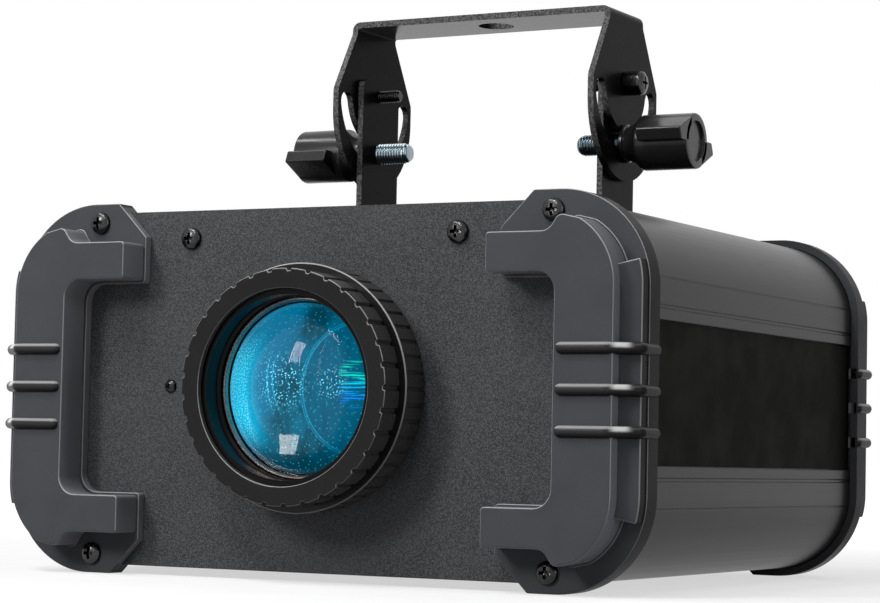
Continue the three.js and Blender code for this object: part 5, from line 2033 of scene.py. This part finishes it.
@dataclass
class Fan:
    """Cooling fan: frame and rotor inside the rear panel, wire guard outside."""

    bore: float = 28.0
    hub: float = 13.0
    web: float = 2.2
    arm_half: float = 1.7
    blades: int = 7
    pitch_angle: float = 38.0
    wire: float = 0.9
    rings: tuple[float, ...] = (10.0, 18.5, 27.0)
    arm_reach: float = 36.0

    def __post_init__(self) -> None:
        """Read the fan's middle and depth off the solid."""
        low, high = drawn_box("fan_frame")
        self.half = (high.x - low.x) / 2
        self.x, self.z = (low.x + high.x) / 2, (low.z + high.z) / 2
        self.front, self.back = low.y, high.y

    def casing(self) -> Piece:
        """Model the frame: two square flanges, a round duct and a hub on four arms.

        Returns:
            The new piece.
        """
        x, z, half = self.x, self.z, self.half
        square = box_outline(x - half, x + half, z - half, z + half, 3.0)
        casing = plate(Axis.Y, square, self.front, self.back)
        tools = [plate(Axis.Y, circle((x, z), self.bore, 96), self.front - 1, self.back + 1)]
        for across in (-1, 1):
            for up in (-1, 1):
                spot = (x + across * (half - 5), z + up * (half - 5))
                tools.append(plate(Axis.Y, circle(spot, 2.1, 20), self.front - 1, self.back + 1))
        cut(casing, *tools)
        web_end = self.front + self.web
        cup = lathe(
            Axis.Y,
            [
                (0.0, self.front), (self.hub - 0.5, self.front), (self.hub, self.front + 0.5),
                (self.hub, web_end), (0.0, web_end),
            ],
            (x, z),
            48,
        )
        reach, half = self.bore + 0.6, self.arm_half
        arms = []
        for across, up in ((reach, half), (half, reach)):
            outline = box_outline(x - across, x + across, z - up, z + up)
            arms.append(plate(Axis.Y, outline, self.front, web_end))
        return shade(fuse(casing, cup, *arms), 35)

    def rotor(self) -> Piece:
        """Model the rotor: a domed hub and seven cambered blades.

        Returns:
            The new piece.
        """
        low, high = drawn_box("fan_rotor")
        middle, reach = (low.y + high.y) / 2, self.bore - 1.3
        hub = lathe(
            Axis.Y,
            [
                (0.0, low.y), (self.hub, low.y), (self.hub, high.y - 1.6),
                (self.hub - 0.5, high.y - 0.5), (self.hub - 1.6, high.y), (5.0, high.y),
                (4.6, high.y - 0.5), (0.0, high.y - 0.5),
            ],
            (self.x, self.z),
            48,
        )
        lean = math.radians(self.pitch_angle)
        cosine, sine = math.cos(lean), math.sin(lean)
        upper, lower = [], []
        for i in range(9):
            along = -1 + i / 4
            rise = 1.4 * (1 - along * along)
            for skin, extra in ((upper, 0.7), (lower, -0.7)):
                u, v = 8.2 * along, rise + extra * (1 - 0.5 * abs(along))
                skin.append((u * cosine - v * sine, u * sine + v * cosine))
        section = [(self.x + u, middle + v) for u, v in [*lower, *reversed(upper)]]
        blade = plate(Axis.Z, section, self.z + self.hub - 1, self.z + reach + 2)
        swept = plate(Axis.Y, circle((self.x, self.z), reach, 96), low.y + 0.2, high.y - 0.2)
        boolean(blade, [swept], "INTERSECT")
        turn = 360 / self.blades
        centre = at(self.x, middle, self.z)
        copies = [turned_copy(blade, Axis.Y, centre, turn * i) for i in range(1, self.blades)]
        return shade(fuse(hub, blade, *copies), 35)

    def guard(self) -> Piece:
        """Model the guard: three wire rings, two crossing arms and four foot eyes.

        Returns:
            The new piece.
        """
        low, high = drawn_box("fan_guard")
        level, top = high.y - 3 * self.wire, high.y - self.wire
        rings = []
        for radius in self.rings:
            section = [(radius + r, y) for r, y in arc((0, level), self.wire, 0, 324, 9)]
            rings.append(lathe(Axis.Y, section, (self.x, self.z), 96))
        feet = []
        arms = []
        middle = (self.x, self.z)
        foot = [
            (0.0, low.y), (3.2, low.y), (3.2, top - 0.4), (2.8, top + 0.2), (1.6, top + 0.7),
            (0.0, top + 0.9),
        ]
        for angle in (45, 135):
            ends = [arc(middle, self.arm_reach, a, a, 1)[0] for a in (angle, angle + 180)]
            wire = [at(u, top, v) for u, v in (ends[0], middle, ends[1])]
            arms.append(tube(wire, self.wire))
            feet.extend(lathe(Axis.Y, foot, end, 24) for end in ends)
        return shade(fuse(rings[0], *rings[1:], *arms, *feet), 50)

    def build(self) -> None:
        """Build the frame, the rotor and the guard."""
        seat(self.casing(), "fan_casing", INNER_PLASTIC, "housing", "matt_plastic", "fan_frame")
        seat(self.rotor(), "fan_blades", INNER_PLASTIC, "fan_rotor", "matt_plastic", "fan_rotor")
        seat(self.guard(), "fan_wires", ZINC, "housing", "zinc_steel", "fan_guard")


@dataclass
class RearFittings:
    """Mains sockets with their fuse drawer, remote jack, control knobs and safety eye."""

    screws: Screws
    ear_radius: float = 5.0
    body_half: float = 13.7
    well_half_width: float = 12.15
    well_half_height: float = 8.15
    well_chamfer: float = 5.0
    well_depth: float = 17.0
    well_rise: float = 4.8
    pin_pitch: float = 7.0
    knob_radius: float = 8.0
    flutes: int = 9
    eye_rod: float = 2.4
    eye_bend: float = 6.6
    eye_reach: float = 9.0
    rivet_pitch: float = 14.2

    @staticmethod
    def settle(piece: Piece, name: str, finish: Finish, slot: str, node: str) -> None:
        """Shade a fitting and seat it on the housing."""
        seat(shade(piece, 35), name, finish, "housing", slot, node)

    def flange(self, node: str) -> tuple[Piece, Vector, float]:
        """Model a socket's flange with its body inside the panel.

        Args:
            node: The solid that it stands for.

        Returns:
            The new piece, the solid's middle, and the station of the flange's face.
        """
        low, high = drawn_box(node)
        middle = (low + high) / 2
        x, z, half = middle.x, middle.z, (high.x - low.x) / 2
        tall = (high.z - low.z) / 2
        outline = rounded(
            [
                (x - half, z, self.ear_radius), (x - self.body_half, z - tall, 2.0),
                (x + self.body_half, z - tall, 2.0), (x + half, z, self.ear_radius),
                (x + self.body_half, z + tall, 2.0), (x - self.body_half, z + tall, 2.0),
            ]
        )
        flange = plate(Axis.Y, outline, high.y - 2.3, high.y)
        bevel_faces(flange, 0.5, 3, looks_back)
        inner = self.body_half
        shell = plate(
            Axis.Y,
            box_outline(x - inner, x + inner, z - tall + 0.8, z + tall - 0.8, 1.0),
            low.y,
            high.y - 1.2,
        )
        boolean(flange, [shell], "UNION")
        pattern = self.screws.head(2.9, 1.4)
        turned = turned_copy(pattern, Axis.Z, ZERO)
        heads = [moved_copy(turned, (x + side * 20.0, high.y, z)) for side in (-1, 1)]
        discard(pattern, turned)
        seat(fuse(*heads), f"{node}_screws", BLACK_STEEL, "housing", "black_steel")
        return flange, middle, high.y

    def well(self, x: float, z: float, grow: float = 0.0) -> list[Point]:
        """Give a socket well's outline.

        Args:
            x: Its middle across.
            z: Its middle height.
            grow: How far to grow it.

        Returns:
            The outline's points.
        """
        wide, tall = self.well_half_width + grow, self.well_half_height + grow
        chamfer = self.well_chamfer
        return rounded(
            [
                (x - wide, z - tall, 1.0), (x + wide, z - tall, 1.0),
                (x + wide, z + tall - chamfer, 1.0), (x + wide - chamfer, z + tall, 1.0),
                (x - wide + chamfer, z + tall, 1.0), (x - wide, z + tall - chamfer, 1.0),
            ],
            3,
        )

    def inlet(self) -> None:
        """Build the mains inlet with its three blades, and the fuse drawer under it."""
        shell, middle, face = self.flange("mains_inlet")
        x, z = middle.x, middle.z + self.well_rise
        low, high = drawn_box("fuse_drawer")
        cut(
            shell,
            plate(Axis.Y, self.well(x, z), face - self.well_depth, face + 1),
            plate(
                Axis.Y,
                box_outline(low.x - FIT, high.x + FIT, low.z - FIT, high.z + FIT, 0.4),
                low.y - FIT,
                face + 1,
            ),
        )
        self.settle(shell, "mains_inlet_shell", INNER_PLASTIC, "matt_plastic", "mains_inlet")
        blades = []
        for across, up in ((-self.pin_pitch, -2.0), (0.0, 2.0), (self.pin_pitch, -2.0)):
            outline = box_outline(x + across - 1, x + across + 1, z + up - 2, z + up + 2, 0.3)
            blade = plate(Axis.Y, outline, face - self.well_depth - 1, face - 1.5)
            blades.append(bevel(blade, 0.25, 2, 50))
        seat(shade(fuse(*blades), 40), "mains_inlet_blades", ZINC, "housing", "zinc_steel")
        sides = (low.x, high.x, low.z, high.z)
        drawer = plate(Axis.Y, box_outline(*sides, 0.3), low.y, face - 0.4)
        front = plate(Axis.Y, box_outline(*sides, 0.8), face - 0.4, high.y - 1.0)
        bevel_faces(front, 0.4, 2, looks_back)
        troughs = []
        half = (high.x - low.x) / 2
        for side in (-1, 1):
            left = middle.x + side * half / 2 - half / 2 + 1
            troughs.append(
                plate(
                    Axis.Y,
                    box_outline(left, left + half - 2, low.z + 1, high.z + 1),
                    low.y + 1,
                    high.y - 5.0,
                )
            )
        cut(drawer, *troughs)
        edge = [(high.y, low.z, 0.4), (high.y, low.z + 1.1, 0.4)]
        section = rounded([(face, low.z), *edge, (face, low.z + 2.4)])
        lip = plate(Axis.X, section, middle.x - half / 2, middle.x + half / 2)
        drawer, node = fuse(drawer, front, lip), "fuse_drawer"
        seat(shade(drawer, 35), "fuse_drawer_tray", RING_PLASTIC, node, "ring_plastic", node)

    def outlet(self) -> None:
        """Build the mains outlet: a grooved well round a core with three slots."""
        shell, middle, face = self.flange("mains_outlet")
        x, z = middle.x, middle.z
        groove = plate(Axis.Y, self.well(x, z, 1.3), face - self.well_depth, face + 1)
        cut(groove, plate(Axis.Y, self.well(x, z, -1.3), face - self.well_depth - 1, face + 2))
        slots = [
            plate(
                Axis.Y,
                box_outline(x + across - 1.2, x + across + 1.2, z + up - 2.5, z + up + 2.5, 0.3),
                face - self.well_depth,
                face + 1,
            )
            for across, up in ((-self.pin_pitch, -1.2), (0.0, 1.2), (self.pin_pitch, -1.2))
        ]
        cut(shell, groove, *slots)
        self.settle(shell, "mains_outlet_shell", INNER_PLASTIC, "matt_plastic", "mains_outlet")

    def jack(self) -> None:
        """Build the remote jack: its body, a hexagon nut and the bushed bore."""
        low, high = drawn_box("remote_jack")
        x, z = (low.x + high.x) / 2, (low.z + high.z) / 2
        inside = high.y - 5.8
        body = plate(Axis.Y, box_outline(low.x, high.x, z - 8, z + 8, 1.0), low.y, inside)
        nut = plate(Axis.Y, circle((x, z), 8.0, 6), high.y - 3.2, high.y - FIT)
        round_off = lathe(
            Axis.Y,
            [
                (0.0, high.y - 4), (8.4, high.y - 4), (8.4, high.y - 1.3), (6.6, high.y),
                (0.0, high.y),
            ],
            (x, z),
            48,
        )
        boolean(nut, [round_off], "INTERSECT")
        bush = lathe(
            Axis.Y,
            [
                (3.4, low.y + 3), (5.4, low.y + 3), (5.4, high.y - 0.4), (5.0, high.y),
                (3.9, high.y), (3.4, high.y - 0.5),
            ],
            (x, z),
            40,
        )
        for piece in (body, nut):
            cut(piece, plate(Axis.Y, circle((x, z), 5.3, 40), low.y - 1, high.y + 1))
        piece = fuse(body, nut, bush)
        self.settle(piece, "remote_jack_nut", INNER_PLASTIC, "matt_plastic", "remote_jack")

    def knob(self, word: str) -> None:
        """Build a fluted control knob with a white pointer let into its end.

        Args:
            word: What the knob sets.
        """
        low, high = drawn_box(f"{word}_knob")
        x, z = (low.x + high.x) / 2, (low.z + high.z) / 2
        outline: list[Point] = []
        for i in range(self.flutes * 8):
            turn = 2 * math.pi * i / (self.flutes * 8)
            radius = self.knob_radius - 0.75 + 0.4 * math.cos(self.flutes * turn)
            outline.append((x + radius * math.sin(turn), z + radius * math.cos(turn)))
        grip = plate(Axis.Y, outline, low.y + 2.0, high.y)
        bevel_faces(grip, 0.7, 3, looks_back)
        skirt = lathe(
            Axis.Y,
            [
                (3.7, low.y), (self.knob_radius - 0.3, low.y), (self.knob_radius, low.y + 0.3),
                (self.knob_radius, low.y + 2.2), (self.knob_radius - 0.6, low.y + 2.8),
                (3.7, low.y + 2.8),
            ],
            (x, z),
            56,
        )
        cut(grip, plate(Axis.Y, circle((x, z), 3.6, 40), low.y - 1, high.y - 4))
        body = f"{word}_knob"
        seat(shade(fuse(grip, skirt), 35), f"{body}_grip", KNOB_PLASTIC, body, "knob_plastic", body)
        outline = box_outline(x - 0.55, x + 0.55, z + 1.5, z + 6.2, 0.3)
        mark = plate(Axis.Y, outline, high.y - 0.5, high.y + 0.05)
        seat(shade(mark, 40), f"{body}_pointer", WHITE_BOARD, body, "board_white")

    def eye(self) -> None:
        """Build the safety eye: a bent round rod on a riveted plate."""
        low, high = drawn_box("safety_eye")
        x, z = (low.x + high.x) / 2, (low.z + high.z) / 2
        face, bend, rod = low.y, self.eye_bend, self.eye_rod
        top, reach = high.y - rod, self.eye_reach
        path = [
            (x - reach, face + 0.2), (x - reach, top - bend),
            *arc((x - reach + bend, top - bend), bend, 180, 90, 8)[1:],
            *arc((x + reach - bend, top - bend), bend, 90, 0, 8), (x + reach, face + 0.2),
        ]
        bow = tube([at(u, y, z) for u, y in path], rod)
        base = plate(Axis.Y, box_outline(low.x, high.x, low.z, high.z, 2.5), face, face + 1.5)
        bevel_faces(base, 0.3, 2, looks_back)
        dome = [(r * 2.0, face + 1.4 + h * 1.1) for r, h in arc((0, 0), 1.0, 0, 90, 6)]
        dome[-1] = (0.0, face + 2.5)
        rivet = [(0.0, face + 1.0), (2.0, face + 1.0), *dome]
        rivets = [lathe(Axis.Y, rivet, (x + side * self.rivet_pitch, z), 24) for side in (-1, 1)]
        self.settle(fuse(bow, base, *rivets), "safety_eye_bow", ZINC, "zinc_steel", "safety_eye")

    def build(self) -> None:
        """Build every fitting of the rear panel."""
        self.inlet()
        self.outlet()
        self.jack()
        self.knob("speed")
        self.knob("colour")
        self.eye()


@dataclass
class Studio:
    """Camera, lamps, floor and backdrop."""

    spot: Spot = (0.56129, -1.05437, 0.05381)
    across: Spot = (0.8805, 0.4735, 0.0209)
    upward: Spot = (0.01037, -0.06335, 0.99786)
    forward: Spot = (-0.4738, 0.8785, 0.0607)
    lens: float = 104.9
    sensor: float = 36.0
    heart: Spot = (0, 0, 0.1)

    def camera(self) -> None:
        """Set up the camera at the photograph's place and angle."""
        data = bpy.data.cameras.new("camera")
        data.lens = self.lens
        data.sensor_width = self.sensor
        data.sensor_fit = "HORIZONTAL"
        data.clip_end = 50
        camera = bpy.data.objects.new("camera", data)
        bpy.context.scene.collection.objects.link(camera)
        columns = (Vector(self.across), Vector(self.upward), -Vector(self.forward))
        turn = Matrix([[c[i] for c in columns] for i in range(3)]).to_quaternion()
        camera.matrix_world = Matrix.Translation(self.spot) @ turn.to_matrix().to_4x4()
        bpy.context.scene.camera = camera

    def lamp(
        self, name: str, spot: Sequence[float], aim: Sequence[float], size: Sequence[float],
        power: float,
    ) -> None:
        """Hang a soft box.

        Args:
            name: Its name.
            spot: Where it hangs, in metres.
            aim: The point that it faces.
            size: Its width and height.
            power: Its power in watts.
        """
        release()
        bpy.ops.object.light_add(type="AREA", location=spot)
        lamp = bpy.context.object
        lamp.name = name
        lamp.data.shape = "RECTANGLE"
        lamp.data.size, lamp.data.size_y = size
        lamp.data.energy = power
        way = Vector(aim) - Vector(spot)
        lamp.rotation_mode = "QUATERNION"
        lamp.rotation_quaternion = way.to_track_quat("-Z", "Y")

    def backdrop(self) -> None:
        """Give the world a white background and a plain ambient light."""
        world = bpy.data.worlds.new("studio")
        world.use_nodes = True
        bpy.context.scene.world = world
        tree = world.node_tree
        output = tree.nodes["World Output"]
        plain = tree.nodes["Background"]
        plain.inputs["Color"].default_value = (0.9, 0.95, 1.0, 1)
        plain.inputs["Strength"].default_value = 0.12
        white = tree.nodes.new("ShaderNodeBackground")
        white.inputs["Color"].default_value = (1, 1, 1, 1)
        white.inputs["Strength"].default_value = 1.0
        path = tree.nodes.new("ShaderNodeLightPath")
        mix = tree.nodes.new("ShaderNodeMixShader")
        seen = path.outputs["Is Camera Ray"]
        for ray in ("Is Glossy Ray", "Is Transmission Ray"):
            either = tree.nodes.new("ShaderNodeMath")
            either.operation = "MAXIMUM"
            tree.links.new(seen, either.inputs[0])
            tree.links.new(path.outputs[ray], either.inputs[1])
            seen = either.outputs[0]
        tree.links.new(seen, mix.inputs["Fac"])
        tree.links.new(plain.outputs[0], mix.inputs[1])
        tree.links.new(white.outputs[0], mix.inputs[2])
        tree.links.new(mix.outputs[0], output.inputs["Surface"])

    def floor(self) -> None:
        """Lay a pale floor that keeps the object's shadow."""
        release()
        bpy.ops.mesh.primitive_plane_add(size=12, location=(0, 0, 0))
        floor = bpy.context.object
        floor.name = "floor"
        paint = Paint("floor_paper")
        body = paint.blend(paint.ramp(paint.noise(40, 2), 0.3, 0.7), grey(152), grey(156))
        paint.feed(paint.shader.inputs["Base Color"], body)
        paint.constant(Roughness=0.9, Specular_IOR_Level=0.1)
        path = paint.add("ShaderNodeLightPath")
        seen = paint.maths("MAXIMUM", path.outputs["Is Camera Ray"], path.outputs["Is Glossy Ray"])
        seen = paint.maths("MAXIMUM", seen, path.outputs["Is Transmission Ray"])
        glow = paint.add("ShaderNodeEmission")
        glow.inputs["Color"].default_value = (1, 1, 1, 1)
        far = paint.add("ShaderNodeVectorMath", operation="LENGTH")
        paint.join(paint.places, far.inputs[0])
        level = paint.ramp(far.outputs["Value"], 0.25, 1.1, 0.61, 1.0)
        paint.join(paint.times(seen, level), glow.inputs["Strength"])
        both = paint.add("ShaderNodeAddShader")
        paint.join(paint.shader.outputs[0], both.inputs[0])
        paint.join(glow.outputs[0], both.inputs[1])
        paint.join(both.outputs[0], paint.tree.nodes["Material Output"].inputs["Surface"])
        floor.data.materials.append(paint.material)

    def build(self) -> None:
        """Set the whole studio."""
        self.camera()
        self.backdrop()
        self.floor()
        self.lamp("key_box", (-0.6, -1.31, 0.81), (0, -0.1, 0.1), (0.26, 0.42), 11.5)
        self.lamp("strip_box", (-0.27, -0.81, 1.28), (0.2, -0.38, 0.1), (2.0, 0.12), 13)
        self.lamp("window_box", (-0.12, -0.81, 1.42), self.heart, (0.15, 0.15), 5)
        self.lamp("stand_box", (-0.06, -2.0, 0.83), self.heart, (0.08, 1.1), 1.8)
        self.lamp("edge_box", (1.89, -0.51, 0.52), self.heart, (0.2, 0.9), 5)
        self.lamp("back_box", (0.6, 0.9, 1.7), self.heart, (1.6, 0.6), 8)
        bpy.context.scene.view_settings.view_transform = "Standard"


def main() -> None:
    """Build the studio and every sub-assembly."""
    logging.basicConfig(level=logging.INFO, format="%(message)s")
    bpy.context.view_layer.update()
    Studio().build()
    housing = Housing()
    housing.build()
    Bumpers(housing).build()
    screws = Screws()
    screws.build()
    Carrier().build()
    LensSet().build()
    Optics().build()
    Fan().build()
    RearFittings(screws).build()


if __name__ == "__main__":
    main()
